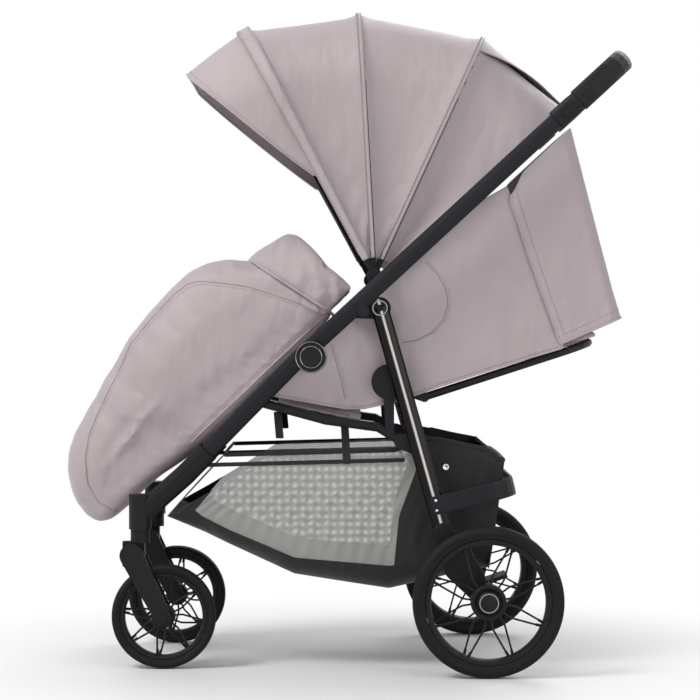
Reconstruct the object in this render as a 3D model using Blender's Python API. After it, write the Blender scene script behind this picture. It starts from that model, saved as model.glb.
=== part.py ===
"""Folding pushchair with a reclining seat, a folding hood, a footmuff and a basket.

Metres, +Z up. The pushchair faces -Y and its left side is +X. The origin is on the floor, under
the middle of the whole. Places in the side view are (y, z) pairs. The side tube is one straight
line from the front leg to the handle, so most places are given along it and across it.
"""
import math

import bmesh
import bpy
from mathutils import Vector

for old in list(bpy.data.objects):
    bpy.data.objects.remove(old, do_unlink=True)

GAP = 0.0003

# Side tube: one point of its line, its slope, its depth in the side view and its width
TUBE_Y = 0.0358
TUBE_Z = 0.6463
TUBE_SLOPE = 42.7
TUBE_DEPTH = 0.030
TUBE_WIDTH = 0.020
TUBE_X = 0.238
LEG_SLOPE = 45.6
LEG_BEND = 0.170
LEG_FOOT_X = 0.160

# Fold hinge and rear leg pivot, along the tube and across it
FOLD_ALONG = -0.0305
FOLD_ACROSS = -0.0142
FOLD_HUB = 0.0100
FOLD_PIN = 0.0040
FOLD_TONGUE = 0.0090
REAR_PIVOT_ALONG = -0.0059
REAR_PIVOT_ACROSS = -0.0299
REAR_PIVOT_PIN = 0.0055

# Round cover on the front leg
DISC_ALONG = -0.1478
DISC_ACROSS = -0.0117
DISC_RADIUS = 0.0270
DISC_HEIGHT = 0.0080

# Handle
COLLAR_ALONG = 0.4467
COLLAR_LENGTH = 0.040
COLLAR_WALL = 0.0035
BUTTON_RADIUS = 0.0070
GRIP_END_ALONG = 0.5900
GRIP_DEPTH = 0.041
GRIP_WIDTH = 0.036
GRIP_CORNER = 0.085

# Rear legs, stand bar and axle
REAR_LEG_X = 0.214
REAR_LEG_SLOPE = 74.28
REAR_LEG_LENGTH = 0.416
REAR_LEG_DEPTH = 0.031
REAR_LEG_WIDTH = 0.020
STAND_Y = 0.149
STAND_Z = 0.286
STAND_LENGTH = 0.135
STAND_SLOPE = 13.5
STAND_HEIGHT = 0.032
STAND_THICKNESS = 0.005
REAR_HOUSING_WALL = 0.006
CROSS_TUBE_RADIUS = 0.009
AXLE_RADIUS = 0.006

# Wheels
REAR_RADIUS = 0.1275
REAR_AXLE_Y = 0.2328
REAR_X = 0.2725
REAR_TYRE_WIDTH = 0.035
REAR_TYRE_DEPTH = 0.021
REAR_RIM_DEPTH = 0.010
REAR_HUB = 0.030
REAR_CAP = 0.020
REAR_KNEE = 0.045
FRONT_RADIUS = 0.090
FRONT_AXLE_Y = -0.3195
FRONT_TYRE_WIDTH = 0.030
FRONT_TYRE_DEPTH = 0.0150
FRONT_RIM_DEPTH = 0.0080
FRONT_HUB = 0.020
FRONT_KNEE = 0.032
SPOKE_RADIUS = 0.0017
SPOKE_POINTS = 8
FRONT_AXLE_RADIUS = 0.004
TYRE_SIDES = 28

# Front swivels and forks
SWIVEL_Y = -0.3603
HOUSING_RADIUS = 0.01925
HOUSING_BOTTOM = 0.240
HOUSING_TOP = 0.300
SWIVEL_PIN = 0.007
NECK_RADIUS = 0.0165
NECK_BOTTOM = 0.2170
FORK_PIVOT_Y = -0.3785
FORK_PIVOT_Z = 0.2078
FORK_TOP_RADIUS = 0.0205
FORK_HUB_RADIUS = 0.0145
FORK_ARM = 0.006
FORK_PIN = 0.004
TONGUE_HALF = 0.0095


def srgb(r, g, b):
    return [(v / 255 / 12.92) if v < 11 else ((v / 255 + 0.055) / 1.055) ** 2.4 for v in (r, g, b)]


def material(name, colour, roughness, metallic=0.0):
    mat = bpy.data.materials.new(name)
    mat.use_nodes = True
    shader = mat.node_tree.nodes["Principled BSDF"]
    shader.inputs["Base Color"].default_value = (*srgb(*colour), 1)
    shader.inputs["Roughness"].default_value = roughness
    shader.inputs["Metallic"].default_value = metallic
    mat.diffuse_color = (*srgb(*colour), 1)
    return mat


LOOKS = {
    "frame_paint": ((38, 37, 42), 0.45, 0.3),
    "dark_chrome": ((70, 70, 74), 0.15, 1.0),
    "black_plastic": ((30, 30, 33), 0.5, 0.0),
    "bright_trim": ((190, 190, 192), 0.2, 1.0),
    "tyre_rubber": ((40, 40, 42), 0.85, 0.0),
    "leatherette": ((34, 33, 36), 0.55, 0.0),
    "taupe_cloth": ((176, 166, 166), 0.9, 0.0),
    "dark_cloth": ((40, 39, 43), 0.9, 0.0),
    "grey_mesh": ((150, 148, 152), 0.8, 0.0),
}
MADE = {name: material(name, *look) for name, look in LOOKS.items()}


def turn(degrees):
    a = math.radians(degrees)
    return math.cos(a), math.sin(a)


UY, UZ = turn(TUBE_SLOPE)
NY, NZ = -UZ, UY


def on_tube(along, across):
    return TUBE_Y + along * UY + across * NY, TUBE_Z + along * UZ + across * NZ


def shift(point, degrees, distance, across=0.0):
    c, s = turn(degrees)
    return point[0] + distance * c - across * s, point[1] + distance * s + across * c


def at(x, point):
    return Vector((x, point[0], point[1]))


def add_ring(bm, points):
    return [bm.verts.new(p) for p in points]


def skin(bm, rings, closed=False):
    pairs = list(zip(rings, rings[1:]))
    if closed:
        pairs.append((rings[-1], rings[0]))
    for a, b in pairs:
        n = len(a)
        for i in range(n):
            bm.faces.new((a[i], a[(i + 1) % n], b[(i + 1) % n], b[i]))
    if not closed:
        bm.faces.new(list(reversed(rings[0])))
        bm.faces.new(rings[-1])


def tidy(bm):
    bmesh.ops.remove_doubles(bm, verts=bm.verts, dist=1e-6)
    bmesh.ops.recalc_face_normals(bm, faces=bm.faces)
    if bm.calc_volume(signed=True) < 0:
        bmesh.ops.reverse_faces(bm, faces=bm.faces)
    return bm


def disc(radius, x0, x1, centre, sides=24, start=0.0, end_radius=None):
    """A cylinder or cone along X."""
    bm = bmesh.new()
    rings = []
    for x, r in ((x0, radius), (x1, radius if end_radius is None else end_radius)):
        ring = [shift(centre, start + 360 * i / sides, r) for i in range(sides)]
        rings.append(add_ring(bm, [at(x, p) for p in ring]))
    skin(bm, rings)
    return tidy(bm)


def post(radius, z0, z1, x, y, sides=24):
    """A cylinder along Z."""
    bm = bmesh.new()
    rings = []
    for z in (z0, z1):
        ring = [shift((x, y), 360 * (i + 0.5) / sides, radius) for i in range(sides)]
        rings.append(add_ring(bm, [(p[0], p[1], z) for p in ring]))
    skin(bm, rings)
    return tidy(bm)


def box(x0, x1, y0, y1, z0, z1):
    return prism([(y0, z0), (y1, z0), (y1, z1), (y0, z1)], x0, x1)


def prism(outline, x0, x1, bevel=0.0):
    """A side-view outline extruded along X."""
    bm = bmesh.new()
    face = bm.faces.new([bm.verts.new(at(x0, p)) for p in outline])
    made = bmesh.ops.extrude_face_region(bm, geom=[face])["geom"]
    moved = [g for g in made if isinstance(g, bmesh.types.BMVert)]
    bmesh.ops.translate(bm, verts=moved, vec=(x1 - x0, 0, 0))
    tidy(bm)
    if bevel:
        rim = [e for e in bm.edges if abs(e.verts[0].co.x - e.verts[1].co.x) < 1e-7]
        bmesh.ops.bevel(bm, geom=rim, offset=bevel, segments=1, affect="EDGES")
        tidy(bm)
    return bm


def hull_outline(circles, sides=10):
    """The outline around circles (y, z, radius), as a belt round pulleys."""
    points = []
    for y, z, r in circles:
        points += [shift((y, z), 360 * (i + 0.5) / (2 * sides), r) for i in range(2 * sides)]
    points = sorted(set((round(p[0], 7), round(p[1], 7)) for p in points))
    halves = []
    for run in (points, points[::-1]):
        half = []
        for p in run:
            while len(half) > 1:
                a, b = half[-2], half[-1]
                if (b[0] - a[0]) * (p[1] - a[1]) - (b[1] - a[1]) * (p[0] - a[0]) > 1e-9:
                    break
                half.pop()
            half.append(p)
        halves += half[:-1]
    return halves


def oval(half_a, half_b, sides, power=2.6):
    points = []
    for i in range(sides):
        c, s = turn(360 * (i + 0.5) / sides)
        points.append((
            half_a * math.copysign(abs(c) ** (2 / power), c),
            half_b * math.copysign(abs(s) ** (2 / power), s),
        ))
    return points


def tube(path, normal, half_normal, half_across, sides=12, power=2.6):
    """An oval tube along a path that lies in a plane, with capped ends. Sizes may vary by point."""
    bm = bmesh.new()
    normal = Vector(normal).normalized()
    rings = []
    for i, p in enumerate(path):
        before = (path[i] - path[i - 1]).normalized() if i else None
        after = (path[i + 1] - path[i]).normalized() if i + 1 < len(path) else None
        t = (before or after).copy()
        wide = 1.0
        if before and after:
            t = (before + after).normalized()
            wide = 1 / max(0.5, t.dot(after))
        side = t.cross(normal).normalized()
        flat = side.cross(t).normalized()
        a = half_normal[i] if isinstance(half_normal, (list, tuple)) else half_normal
        b = half_across[i] if isinstance(half_across, (list, tuple)) else half_across
        rings.append(add_ring(bm, [
            p + flat * q[0] + side * q[1] * wide for q in oval(a, b, sides, power)
        ]))
    skin(bm, rings)
    return tidy(bm)


def ring_x(profile, x, centre, sides, mirror=1):
    """A closed profile of (x offset, radius) turned round the X axis."""
    bm = bmesh.new()
    scale = 1 / math.cos(math.pi / sides)
    rings = []
    for i in range(sides):
        c, s = turn(360 * (i + 0.5) / sides - 90)
        rings.append(add_ring(bm, [
            (x + mirror * p, centre[0] + r * scale * c, centre[1] + r * scale * s)
            for p, r in profile
        ]))
    skin(bm, rings, closed=True)
    return tidy(bm)


def merge(bm, others, operation="UNION"):
    """Boolean of one solid with others, one at a time."""
    base = as_object("working_solid", bm)
    for other in others:
        tool = as_object("working_tool", other)
        mod = base.modifiers.new("boolean", "BOOLEAN")
        mod.operation = operation
        mod.solver = "EXACT"
        mod.object = tool
        graph = bpy.context.evaluated_depsgraph_get()
        mesh = bpy.data.meshes.new_from_object(base.evaluated_get(graph))
        base.modifiers.clear()
        base.data = mesh
        bpy.data.objects.remove(tool, do_unlink=True)
    out = bmesh.new()
    out.from_mesh(base.data)
    bpy.data.objects.remove(base, do_unlink=True)
    bmesh.ops.remove_doubles(out, verts=out.verts, dist=2e-6)
    bmesh.ops.dissolve_degenerate(out, edges=out.edges, dist=2e-6)
    return out


def cut(bm, others):
    return merge(bm, others, "DIFFERENCE")


def as_object(name, bm):
    mesh = bpy.data.meshes.new(name)
    bm.to_mesh(mesh)
    bm.free()
    obj = bpy.data.objects.new(name, mesh)
    bpy.context.scene.collection.objects.link(obj)
    return obj


PIVOTS = {}


def pivot(name, place, parent=None):
    empty = bpy.data.objects.new(name, None)
    empty.empty_display_size = 0.03
    base = Vector((0, 0, 0))
    if parent:
        empty.parent = PIVOTS[parent][0]
        base = PIVOTS[parent][1]
    empty.location = Vector(place) - base
    bpy.context.scene.collection.objects.link(empty)
    PIVOTS[name] = (empty, Vector(place))


def piece(name, bm, look, body, sharp=35):
    bmesh.ops.translate(bm, verts=bm.verts, vec=-PIVOTS[body][1])
    obj = as_object(name, bm)
    obj.data.materials.append(MADE[look])
    obj.data.shade_smooth()
    obj.data.set_sharp_from_angle(angle=math.radians(sharp))
    obj.parent = PIVOTS[body][0]
    return obj


SIDES = (("left", 1), ("right", -1))

FOLD = on_tube(FOLD_ALONG, FOLD_ACROSS)
REAR_PIVOT = on_tube(REAR_PIVOT_ALONG, REAR_PIVOT_ACROSS)
REAR_AXLE = (REAR_AXLE_Y, REAR_RADIUS)
FRONT_AXLE = (FRONT_AXLE_Y, FRONT_RADIUS)
FORK_PIVOT = (FORK_PIVOT_Y, FORK_PIVOT_Z)

pivot("front_frame", (0, 0, 0))
pivot("upper_frame", at(0, FOLD), "front_frame")
pivot("rear_frame", at(0, REAR_PIVOT), "front_frame")
for side, sign in SIDES:
    x = sign * LEG_FOOT_X
    pivot(f"swivel_{side}", (x, SWIVEL_Y, HOUSING_BOTTOM), "front_frame")
    pivot(f"fork_{side}", at(x, FORK_PIVOT), f"swivel_{side}")
    pivot(f"front_wheel_{side}", at(x, FRONT_AXLE), f"fork_{side}")
    pivot(f"rear_wheel_{side}", at(sign * REAR_X, REAR_AXLE), "rear_frame")


def tyre_profile(radius, width, depth):
    half = width / 2
    inner = radius - depth
    return [
        (-half * 0.80, inner), (-half, inner + depth * 0.5), (-half * 0.6, radius),
        (half * 0.6, radius), (half, inner + depth * 0.5), (half * 0.80, inner),
    ]


def wheel(x, centre, radius, width, tyre_depth, rim_depth, hub, knee, bore, start):
    """Rim, bent wire spokes in pairs, and a hub with its bore."""
    rim_out = radius - tyre_depth - GAP
    rim_in = rim_out - rim_depth
    half = width * 0.38
    rim = ring_x([(-half, rim_out), (-half, rim_in + 0.002), (-half * 0.6, rim_in),
                  (half * 0.6, rim_in), (half, rim_in + 0.002), (half, rim_out)],
                 x, centre, TYRE_SIDES)
    parts = [disc(hub, x - half, x + half, centre, 24, start=5.6)]
    for i in range(SPOKE_POINTS):
        angle = start + 360 * i / SPOKE_POINTS
        for lean in (-1, 1):
            wire_x = x + lean * half * 0.35
            path = [
                at(wire_x, shift(centre, angle + lean * 14, hub * 0.8)),
                at(wire_x, shift(centre, angle + lean * 14, knee)),
                at(wire_x, shift(centre, angle + lean * 2, rim_in + rim_depth * 0.4)),
            ]
            parts.append(tube(path, (1, 0, 0), SPOKE_RADIUS, SPOKE_RADIUS, 4, 2))
    solid = merge(rim, parts)
    return cut(solid, [disc((bore + GAP) / math.cos(math.pi / 16), x - width, x + width, centre, 16)])


for side, sign in SIDES:
    x = sign * REAR_X
    piece(f"rear_tyre_{side}",
          ring_x(tyre_profile(REAR_RADIUS, REAR_TYRE_WIDTH, REAR_TYRE_DEPTH), x, REAR_AXLE, TYRE_SIDES),
          "tyre_rubber", f"rear_wheel_{side}", 50)
    piece(f"rear_wheel_rim_{side}",
          wheel(x, REAR_AXLE, REAR_RADIUS, REAR_TYRE_WIDTH, REAR_TYRE_DEPTH, REAR_RIM_DEPTH,
                REAR_HUB, REAR_KNEE, AXLE_RADIUS, 22.5),
          "black_plastic", f"rear_wheel_{side}")
    face = REAR_TYRE_WIDTH * 0.38
    inner = x + sign * (face + GAP)
    outer = x + sign * (face + 0.009)
    cap = disc(REAR_CAP, inner, outer, REAR_AXLE, 24, end_radius=REAR_CAP * 0.85)
    piece(f"rear_hub_cap_{side}", cap, "black_plastic", f"rear_wheel_{side}")

    x = sign * LEG_FOOT_X
    piece(f"front_tyre_{side}",
          ring_x(tyre_profile(FRONT_RADIUS, FRONT_TYRE_WIDTH, FRONT_TYRE_DEPTH), x, FRONT_AXLE, TYRE_SIDES),
          "tyre_rubber", f"front_wheel_{side}", 50)
    piece(f"front_wheel_rim_{side}",
          wheel(x, FRONT_AXLE, FRONT_RADIUS, FRONT_TYRE_WIDTH, FRONT_TYRE_DEPTH, FRONT_RIM_DEPTH,
                FRONT_HUB, FRONT_KNEE, FRONT_AXLE_RADIUS, -8),
          "black_plastic", f"front_wheel_{side}")

# Front frame: legs, swivel housings, covers
SEAT_TUBE_X = 0.1945
SEAT_TUBE_RADIUS = 0.008
SEAT_TUBE = ((-0.1460, 0.4580), (-0.0398, 0.4290), (0.0489, 0.4170), (0.0880, 0.3935))
RECLINE = (0.0675, 0.4946)
RECLINE_COVER = 0.030
PLATE_INNER = 0.1935
PLATE_OUTER = 0.2035


def seat_tube_z(y):
    """Height of the seat tube's line at y."""
    for (y0, z0), (y1, z1) in zip(SEAT_TUBE, SEAT_TUBE[1:]):
        if y <= y1:
            break
    return z0 + (z1 - z0) * (y - y0) / (y1 - y0)


def leg_x(along):
    """Half track of the front leg: straight beside the seat, then drawn in to the swivel."""
    low = -0.47
    share = min(1.0, max(0.0, (along + 0.06) / (low + 0.06)))
    return TUBE_X + (LEG_FOOT_X + 0.006 - TUBE_X) * share


def leg_path(sign):
    path = []
    for along in (-0.0290, -0.0600, -LEG_BEND):
        path.append(at(sign * leg_x(along), on_tube(along, 0)))
    bend = on_tube(-LEG_BEND, 0)
    for run in (0.10, 0.20, 0.262):
        p = shift(bend, LEG_SLOPE + 180, run)
        path.append(at(sign * leg_x(-LEG_BEND - run), p))
    return path


for side, sign in SIDES:
    path = leg_path(sign)
    first = at(sign * TUBE_X, on_tube(FOLD_ALONG - GAP / 2, 0))
    path[0] = first
    leg = tube(path, (1, 0, 0), TUBE_WIDTH / 2, TUBE_DEPTH / 2, 12)
    x0 = sign * (TUBE_X - TUBE_WIDTH / 2)
    x1 = sign * (TUBE_X + TUBE_WIDTH / 2)
    cheek = disc(FOLD_HUB, x0, x1, FOLD, 24)
    leg = merge(leg, [cheek])
    half = FOLD_TONGUE / 2 + GAP
    slot = disc(FOLD_HUB + GAP * 2, sign * (TUBE_X - half), sign * (TUBE_X + half), FOLD, 24)
    leg = cut(leg, [slot])
    pin = disc(FOLD_PIN, sign * (TUBE_X - half - 0.002), sign * (TUBE_X + half + 0.002), FOLD, 16)
    leg = merge(leg, [pin])
    foot_y = SWIVEL_Y + HOUSING_RADIUS
    piece(f"front_leg_{side}", leg, "frame_paint", "front_frame")

    x = sign * LEG_FOOT_X
    house = post(HOUSING_RADIUS, HOUSING_BOTTOM, HOUSING_TOP, x, SWIVEL_Y)
    end = path[-1]
    way = (path[-2] - path[-1]).normalized()
    socket = tube([Vector((x, SWIVEL_Y + 0.004, 0.268)), end - way * 0.012, end + way * 0.045],
                  (1, 0, 0), TUBE_WIDTH / 2 + 0.004, TUBE_DEPTH / 2 + 0.004, 12)
    house = merge(house, [socket])
    room = tube([end - way * GAP, end + way * 0.08], (1, 0, 0),
                TUBE_WIDTH / 2 + GAP * 1.5, TUBE_DEPTH / 2 + GAP * 1.5, 12)
    bore = post((SWIVEL_PIN + GAP) / math.cos(math.pi / 16), HOUSING_BOTTOM - 0.01,
                HOUSING_TOP - 0.012, x, SWIVEL_Y, 16)
    piece(f"swivel_housing_{side}", cut(house, [room, bore]), "black_plastic", "front_frame")

    cover_y, cover_z = on_tube(DISC_ALONG, DISC_ACROSS)
    cx = leg_x(DISC_ALONG) + TUBE_WIDTH / 2 + 0.004
    cover = disc(DISC_RADIUS, sign * (cx - DISC_HEIGHT), sign * (cx + DISC_HEIGHT), (cover_y, cover_z), 24)
    groove = ring_x([(DISC_HEIGHT - 0.0012, 0.0215), (DISC_HEIGHT - 0.0012, 0.0190),
                     (DISC_HEIGHT + 0.002, 0.0190), (DISC_HEIGHT + 0.002, 0.0215)],
                    sign * cx, (cover_y, cover_z), 24, sign)
    room = tube(path, (1, 0, 0), TUBE_WIDTH / 2 + GAP, TUBE_DEPTH / 2 + GAP, 12)
    piece(f"hinge_cover_{side}", cut(cover, [groove, room]), "black_plastic", "front_frame")

    plate = prism(hull_outline([(*REAR_PIVOT, 0.019), (*on_tube(-0.045, 0.001), 0.013)]),
                  sign * PLATE_INNER, sign * PLATE_OUTER)
    boss = disc(0.0090, sign * (PLATE_OUTER - 0.001), sign * (TUBE_X - TUBE_WIDTH / 2 - GAP),
                on_tube(-0.045, 0.003), 20)
    pin = disc(REAR_PIVOT_PIN, sign * (PLATE_OUTER - 0.001), sign * 0.2262, REAR_PIVOT, 20)
    piece(f"knuckle_{side}", merge(plate, [boss, pin]), "black_plastic", "front_frame")

    low = tube([at(sign * SEAT_TUBE_X, p) for p in SEAT_TUBE], (1, 0, 0),
               SEAT_TUBE_RADIUS, SEAT_TUBE_RADIUS, 10, 2)
    room = tube(path, (1, 0, 0), TUBE_WIDTH / 2 + GAP, TUBE_DEPTH / 2 + GAP, 12)
    end = SEAT_TUBE[-1]
    clip = prism(hull_outline([(*end, 0.0125), (end[0] + 0.022, end[1] - 0.010, 0.0125)]),
                 sign * (SEAT_TUBE_X + SEAT_TUBE_RADIUS * 0.2), sign * PLATE_OUTER)
    arm = prism(hull_outline([(RECLINE[0], RECLINE[1] - RECLINE_COVER, 0.009), (RECLINE[0] + 0.002, 0.4060, 0.007)]),
                sign * (SEAT_TUBE_X - 0.003), sign * (PLATE_OUTER - 0.002))
    arm = cut(arm, [disc((RECLINE_COVER + GAP) / math.cos(math.pi / 32), sign * 0.18, sign * 0.21, RECLINE, 32)])
    low = merge(cut(low, [room]), [clip, arm])
    piece(f"seat_tube_{side}", low, "frame_paint", "front_frame")

    # Swivel, fork and front axle
    x = sign * LEG_FOOT_X
    neck = post(NECK_RADIUS, NECK_BOTTOM, HOUSING_BOTTOM - GAP, x, SWIVEL_Y)
    stem = post(SWIVEL_PIN, NECK_BOTTOM + 0.002, HOUSING_TOP - 0.014, x, SWIVEL_Y, 16)
    tongue = box(x - TONGUE_HALF, x + TONGUE_HALF, -0.3900, -0.3520, 0.1930, NECK_BOTTOM + 0.002)
    crown = merge(neck, [stem, tongue])
    crown = cut(crown, [disc((FORK_PIN + GAP) / math.cos(math.pi / 16), x - 0.03, x + 0.03, FORK_PIVOT, 16)])
    piece(f"swivel_crown_{side}", crown, "black_plastic", f"swivel_{side}")

    inner = FRONT_TYRE_WIDTH / 2 + 0.0025
    outline = hull_outline([(-0.3735, 0.1960, FORK_TOP_RADIUS), (*FRONT_AXLE, FORK_HUB_RADIUS)])
    arms = [prism(outline, x + s * inner, x + s * (inner + FORK_ARM)) for s in (-1, 1)]
    reach = inner + FORK_ARM / 2
    bridge = box(x - reach, x + reach, -0.3890, -0.3775, 0.1770, 0.1870)
    rivet = disc(FORK_PIN, x - reach, x + reach, FORK_PIVOT, 16)
    fork = merge(arms[0], [bridge, arms[1], rivet])
    fork = cut(fork, [disc((FRONT_AXLE_RADIUS + GAP) / math.cos(math.pi / 16), x - 0.05, x + 0.05, FRONT_AXLE, 16)])
    piece(f"front_fork_{side}", fork, "black_plastic", f"fork_{side}")
    tip = inner + FORK_ARM
    bolt = disc(FRONT_AXLE_RADIUS, x - tip - 0.002, x + tip + 0.002, FRONT_AXLE, 16)
    heads = [disc(0.0075, x + s * (tip + GAP), x + s * (tip + 0.0035), FRONT_AXLE, 16) for s in (-1, 1)]
    piece(f"front_axle_{side}", merge(bolt, heads), "bright_trim", f"fork_{side}")

# Upper frame: push tubes, collars, grip and hood pivots
HOOD_PIVOT = (0.0420, 0.6750)
HOOP_X = (0.2080, 0.2150, 0.2220)
for side, sign in SIDES:
    top = GRIP_END_ALONG - GRIP_CORNER - 0.028
    rod = tube([at(sign * TUBE_X, on_tube(FOLD_ALONG + GAP / 2, 0)),
                at(sign * TUBE_X, on_tube(top, 0))], (1, 0, 0), TUBE_WIDTH / 2, TUBE_DEPTH / 2, 12)
    inner_x = sign * (TUBE_X - TUBE_WIDTH / 2 - 0.002)
    outer_x = sign * (TUBE_X + TUBE_WIDTH / 2 + 0.002)
    edge = FOLD_TONGUE / 2
    room = [disc((FOLD_HUB + GAP) / math.cos(math.pi / 32), inner_x, sign * (TUBE_X - edge), FOLD, 32),
            disc((FOLD_HUB + GAP) / math.cos(math.pi / 32), sign * (TUBE_X + edge), outer_x, FOLD, 32)]
    rod = cut(rod, room)
    rod = merge(rod, [disc(FOLD_HUB - GAP, sign * (TUBE_X - edge), sign * (TUBE_X + edge), FOLD, 24)])
    rod = cut(rod, [disc((FOLD_PIN + GAP) / math.cos(math.pi / 16), inner_x, outer_x, FOLD, 16)])
    piece(f"push_tube_{side}", rod, "frame_paint", "upper_frame")

    ends = [at(sign * TUBE_X, on_tube(COLLAR_ALONG + d, 0)) for d in (-COLLAR_LENGTH / 2, COLLAR_LENGTH / 2)]
    longer = [at(sign * TUBE_X, on_tube(COLLAR_ALONG + d, 0)) for d in (-COLLAR_LENGTH, COLLAR_LENGTH)]
    sleeve = tube(ends, (1, 0, 0), TUBE_WIDTH / 2 + COLLAR_WALL, TUBE_DEPTH / 2 + COLLAR_WALL, 16)
    sleeve = cut(sleeve, [tube(longer, (1, 0, 0), TUBE_WIDTH / 2 + GAP * 1.5, TUBE_DEPTH / 2 + GAP * 1.5, 12)])
    knob_x = TUBE_X + TUBE_WIDTH / 2 + COLLAR_WALL
    knob = disc(BUTTON_RADIUS, sign * (knob_x - 0.001), sign * (knob_x + 0.003), on_tube(COLLAR_ALONG, 0), 20)
    piece(f"handle_collar_{side}", merge(sleeve, [knob]), "black_plastic", "upper_frame")

    hub = disc(0.0135, sign * 0.2262, sign * (TUBE_X - TUBE_WIDTH / 2 - GAP), HOOD_PIVOT, 24)
    axle = disc(0.0035, sign * 0.2045, sign * 0.2266, HOOD_PIVOT, 16)
    piece(f"hood_pivot_{side}", merge(hub, [axle]), "black_plastic", "upper_frame")


def u_path(half, foot, crown, corner, point, steps=6):
    """A U in the plane of X and one side-view direction: left foot, over the top, right foot."""
    path = [at(half, point(foot))]
    for i in range(steps + 1):
        c, s = turn(90 * i / steps)
        path.append(at(half - corner + corner * c, point(crown - corner + corner * s)))
    mirror = [Vector((-p.x, p.y, p.z)) for p in reversed(path)]
    return path + mirror


bar = u_path(TUBE_X, GRIP_END_ALONG - GRIP_CORNER - 0.028 + GAP, GRIP_END_ALONG, GRIP_CORNER,
             lambda s: on_tube(s, 0))
piece("handle_grip", tube(bar, (0, NY, NZ), GRIP_DEPTH / 2, GRIP_WIDTH / 2 - 0.006, 12, 2.2),
      "leatherette", "upper_frame")

# Rear frame
lower = shift(REAR_PIVOT, -REAR_LEG_SLOPE, REAR_LEG_LENGTH)
for side, sign in SIDES:
    x = sign * REAR_LEG_X
    path = [at(x, shift(REAR_PIVOT, -REAR_LEG_SLOPE, d)) for d in (0, REAR_LEG_LENGTH)]
    leg = tube(path, (1, 0, 0), REAR_LEG_WIDTH / 2, REAR_LEG_DEPTH / 2, 12)
    leg = merge(leg, [disc(REAR_LEG_DEPTH / 2 - GAP, x - 0.0085, x + 0.0085, REAR_PIVOT, 24)])
    bore = (REAR_PIVOT_PIN + GAP) / math.cos(math.pi / 16)
    leg = cut(leg, [disc(bore, x - 0.03, x + 0.03, REAR_PIVOT, 16)])
    piece(f"rear_leg_{side}", leg, "dark_chrome", "rear_frame")

    d = REAR_LEG_SLOPE
    block = prism(hull_outline([(*shift(REAR_PIVOT, -d, REAR_LEG_LENGTH - 0.018), 0.0185),
                                (*shift(REAR_PIVOT, -d, REAR_LEG_LENGTH + 0.045), 0.0160),
                                (*REAR_AXLE, 0.0190)]),
                  sign * (REAR_LEG_X - REAR_LEG_WIDTH / 2 - REAR_HOUSING_WALL), sign * 0.2310, 0.001)
    lug = disc(0.0150, sign * 0.2300, sign * (REAR_X - REAR_TYRE_WIDTH * 0.38 - GAP * 3), REAR_AXLE, 24)
    block = merge(block, [lug])
    room = tube([at(x, shift(REAR_PIVOT, -d, r)) for r in (REAR_LEG_LENGTH - 0.10, REAR_LEG_LENGTH + GAP)],
                (1, 0, 0), REAR_LEG_WIDTH / 2 + GAP * 1.5, REAR_LEG_DEPTH / 2 + GAP * 1.5, 12)
    bore = (AXLE_RADIUS + GAP) / math.cos(math.pi / 16)
    hole = disc(bore, sign * 0.15, sign * 0.30, REAR_AXLE, 16)
    piece(f"rear_housing_{side}", cut(block, [room, hole]), "black_plastic", "rear_frame")

face = REAR_LEG_X - REAR_LEG_WIDTH / 2 - REAR_HOUSING_WALL - GAP
axle = disc(CROSS_TUBE_RADIUS, -face, face, REAR_AXLE, 20)
reach = REAR_X + REAR_TYRE_WIDTH * 0.38 - 0.001
piece("rear_axle", merge(axle, [disc(AXLE_RADIUS, -reach, reach, REAR_AXLE, 16)]), "frame_paint", "rear_frame")

stand_x = REAR_LEG_X + REAR_LEG_WIDTH / 2 + STAND_THICKNESS / 2 + GAP
slope = turn(STAND_SLOPE)
bar = u_path(stand_x, -0.010, STAND_LENGTH, 0.045, lambda s: shift((STAND_Y, STAND_Z), STAND_SLOPE, s))
stand = tube(bar, (0, -slope[1], slope[0]), STAND_HEIGHT / 2, STAND_THICKNESS / 2, 8, 6)
piece("rear_stand_bar", stand, "frame_paint", "rear_frame")

pivot("brake", at(0, REAR_AXLE), "rear_frame")
clasp = disc(CROSS_TUBE_RADIUS + 0.005, -0.030, 0.030, REAR_AXLE, 20)
tread = prism([shift(REAR_AXLE, 20, r, w) for r, w in ((0.008, -0.004), (0.052, -0.003), (0.052, 0.003), (0.008, 0.004))],
              -0.034, 0.034)
clasp = merge(clasp, [tread])
clasp = cut(clasp, [disc((CROSS_TUBE_RADIUS + GAP) / math.cos(math.pi / 20), -0.05, 0.05, REAR_AXLE, 20)])
piece("brake_pedal", clasp, "black_plastic", "brake")

# Seat: board, cushion, recline covers and backrest
RECLINE_PIN = 0.006
WALL_X = 0.187
WALL_THICKNESS = 0.006
BACK_SLOPE = 18.0
BACK_DROP = 0.0443
BACK_LENGTH = 0.352
BACK_TUBE_RADIUS = 0.007
BACK_TUBE_X = 0.1765
BACK_PAD = 0.028
SEAT_PAD_FRONT = -0.128
SEAT_PAD_BACK = 0.024
SEAT_PAD = 0.030
pivot("recline_bracket", at(0, RECLINE), "front_frame")
pivot("backrest", at(0, RECLINE), "recline_bracket")


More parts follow.
